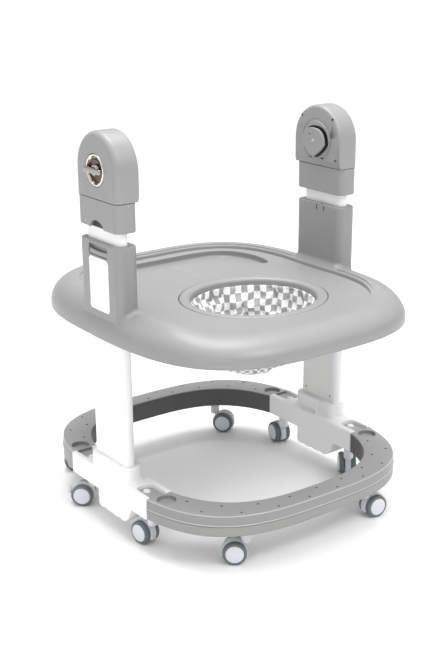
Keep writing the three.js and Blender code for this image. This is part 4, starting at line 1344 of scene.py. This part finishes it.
def caster_place(name):
    """The caster's own frame: stem on the Z axis, wheels trailing along +X."""
    stem, wheels = centre(f"{name}_caster_stem"), centre(f"{name}_caster_wheels")
    heading = math.atan2(wheels.y - stem.y, wheels.x - stem.x)
    trail = math.hypot(wheels.x - stem.x, wheels.y - stem.y)
    return Matrix.Translation((stem.x, stem.y, 0)) @ Matrix.Rotation(heading, 4, "Z"), trail


def wheel_parts(axle):
    """The tyres of a pair of wheels, and their caps with the axle between them."""
    tyre = ([(0.0185, 0.0075), (0.0228, 0.0075)] + arc(0.0222, 0.0103, 0.0028, -70, 0, 5)
            + arc(0.0205, 0.0150, 0.0045, 0, 78, 7)
            + [(0.0199, 0.0196), (0.0192, 0.0190), (0.0185, 0.0175)])
    cap = ([(0, 0.0209), (0.0070, 0.0208), (0.0140, 0.0204), (0.0148, 0.0201), (0.0152, 0.0203)]
           + arc(0.0176, 0.0190, 0.0012, 80, 0, 4) + [(0.0188, 0.0090), (0.0170, 0.0080), (0, 0.0080)])
    tyres, caps = [], []
    for hand in (1, -1):
        turn = axle @ Matrix.Scale(hand, 4, (0, 0, 1))
        tyres.append(lathe(tyre, 56, turn, wrap=True))
        caps.append(lathe(cap, 56, turn))
    caps.append(lathe(rod(0.004, -0.0082, 0.0082), 24, axle))
    return tyres, caps


def hood_parts(place, trail):
    """The hood's plate between the wheels, and the post that holds the stem."""
    edge = 0.0015
    full = arc(trail, WHEEL_RADIUS, HOOD_RADIUS, -30, 210, 40)
    inner = arc(trail, WHEEL_RADIUS, HOOD_RADIUS - edge, -30, 210, 40)

    def side(offset):
        share = -offset / edge
        return [(a[0] + (b[0] - a[0]) * share, a[1] + (b[1] - a[1]) * share) for a, b in zip(full, inner)]

    plate = stack(side, rounded_levels(-HOOD_HALF, HOOD_HALF, 0.0012, 0.0012, 4), place @ ALONG_Y)
    post = [(0, 0.046), (0.0095, 0.046), (0.011, 0.0475), (0.011, 0.0757), (0.0100, 0.0769), (0, 0.0769)]
    return plate, lathe(post, 36, place)


def caster(name):
    """Tyres, hub caps, hood and stem of one caster."""
    place, trail = caster_place(name)
    axle = place @ Matrix.Translation((trail, 0, WHEEL_RADIUS)) @ ALONG_Y
    tyres, caps = wheel_parts(axle)
    finish_piece(build(f"{name}_tyres", *tyres), f"{name}_wheels", TYRE,
                 [f"{name}_caster_wheels"], sharp=55)
    finish_piece(build(f"{name}_hub_caps", *caps), f"{name}_wheels", HUB, sharp=30)
    plate, post = hood_parts(place, trail)
    hood = build(f"{name}_hood_fine", plate)
    combine(hood, "UNION", post)
    room = [lathe(rod(0.0266, HOOD_HALF + PLAY, 0.03), 48, axle @ Matrix.Scale(hand, 4, (0, 0, 1)))
            for hand in (1, -1)]
    hole = lathe(rod(0.0047, -0.03, 0.03), 24, axle)
    socket = lathe(rod(0.0054, 0.0577, 0.09), 24, place)
    combine(hood, "DIFFERENCE", *room)
    combine(hood, "DIFFERENCE", hole, socket)
    finish_piece(hood, f"{name}_caster", HOOD, [f"{name}_caster_hood"], 0.0003, 35)
    low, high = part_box(f"{name}_caster_stem")
    stem = [(0, low.z), (0.0045, low.z), (0.005, low.z + 0.0005), (0.005, 0.0777), (0.0105, 0.0777),
            (0.011, 0.0782), (0.011, 0.0802), (0.0105, 0.0807), (0.005, 0.0807), (0.005, high.z - 0.001),
            (0.004, high.z), (0, high.z)]
    finish_piece(build(f"{name}_stem_fine", lathe(stem, 32, place)), "base", STEEL,
                 [f"{name}_caster_stem"], sharp=30)


def brake(name):
    """A short curved lever that stands off the hood's back."""
    place, trail = caster_place(name)
    inner_radius, outer_radius, sweep, half = 0.0282, 0.035, 22, 0.008

    def outline(offset):
        trim = math.degrees(-offset / outer_radius)
        return (arc(trail, WHEEL_RADIUS, outer_radius + offset, trim, sweep - trim, 10)
                + arc(trail, WHEEL_RADIUS, inner_radius - offset, sweep - trim, trim, 10))

    lever = build(f"{name}_brake_fine",
                  stack(outline, rounded_levels(-half, half, 0.0012, 0.0012, 4), place @ ALONG_Y))
    finish_piece(lever, f"{name}_brake", HOOD, [f"{name}_caster_brake"], sharp=45)


for name in CASTERS:
    caster(name)
    if f"{name}_caster_brake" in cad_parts:
        brake(name)

# ---------------------------------------------------------------- studio

STAGE_HALF = 60.0


def studio_sky():
    """Soft light that is strong overhead and weak low down, with a pale line along the horizon."""
    world = bpy.data.worlds.new("studio")
    world.use_nodes = True
    tree = world.node_tree
    place = tree.nodes.new("ShaderNodeTexCoord")
    parts = tree.nodes.new("ShaderNodeSeparateXYZ")
    tree.links.new(place.outputs["Generated"], parts.inputs["Vector"])
    sky = ramp(tree, parts.outputs["Z"], (0.0, (0.62,) * 3), (0.06, (0.62,) * 3), (0.12, (0.12,) * 3),
               (0.35, (0.33,) * 3), (0.9, (0.98,) * 3))
    background = tree.nodes["Background"]
    tree.links.new(sky, background.inputs["Color"])
    background.inputs["Strength"].default_value = 1.66
    scene.world = world


def studio_floor():
    disc = superellipse(STAGE_HALF, STAGE_HALF, 2.0)
    floor = build("floor", prism([disc(2 * math.pi * i / 96) for i in range(96)], -0.01, 0))
    material, tree, shader = new_material("floor")
    shade = ramp(tree, noise_at(tree, 0.6), (0.3, (0.88,) * 3), (0.7, (0.90,) * 3))
    tree.links.new(shade, shader.inputs["Base Color"])
    shader.inputs["Roughness"].default_value = 0.9
    floor.data.materials.append(material)


def softbox(name, place, target, size, watts):
    data = bpy.data.lights.new(name, "AREA")
    data.shape = "DISK"
    data.size = size
    data.energy = watts
    light = bpy.data.objects.new(name, data)
    scene.collection.objects.link(light)
    light.location = place
    light.rotation_mode = "QUATERNION"
    light.rotation_quaternion = (Vector(target) - Vector(place)).to_track_quat("-Z", "Y")


studio_floor()
studio_sky()
softbox("key", (0.3, -2.6, 3.1), (0, 0, 0.5), 1.3, 46)
softbox("top", (0.1, 0.4, 3.2), (0, 0, 0.2), 2.0, 66)
softbox("fill", (-2.8, -1.4, 0.9), (0, 0, 0.3), 1.5, 10)
scene.view_settings.view_transform = "Standard"
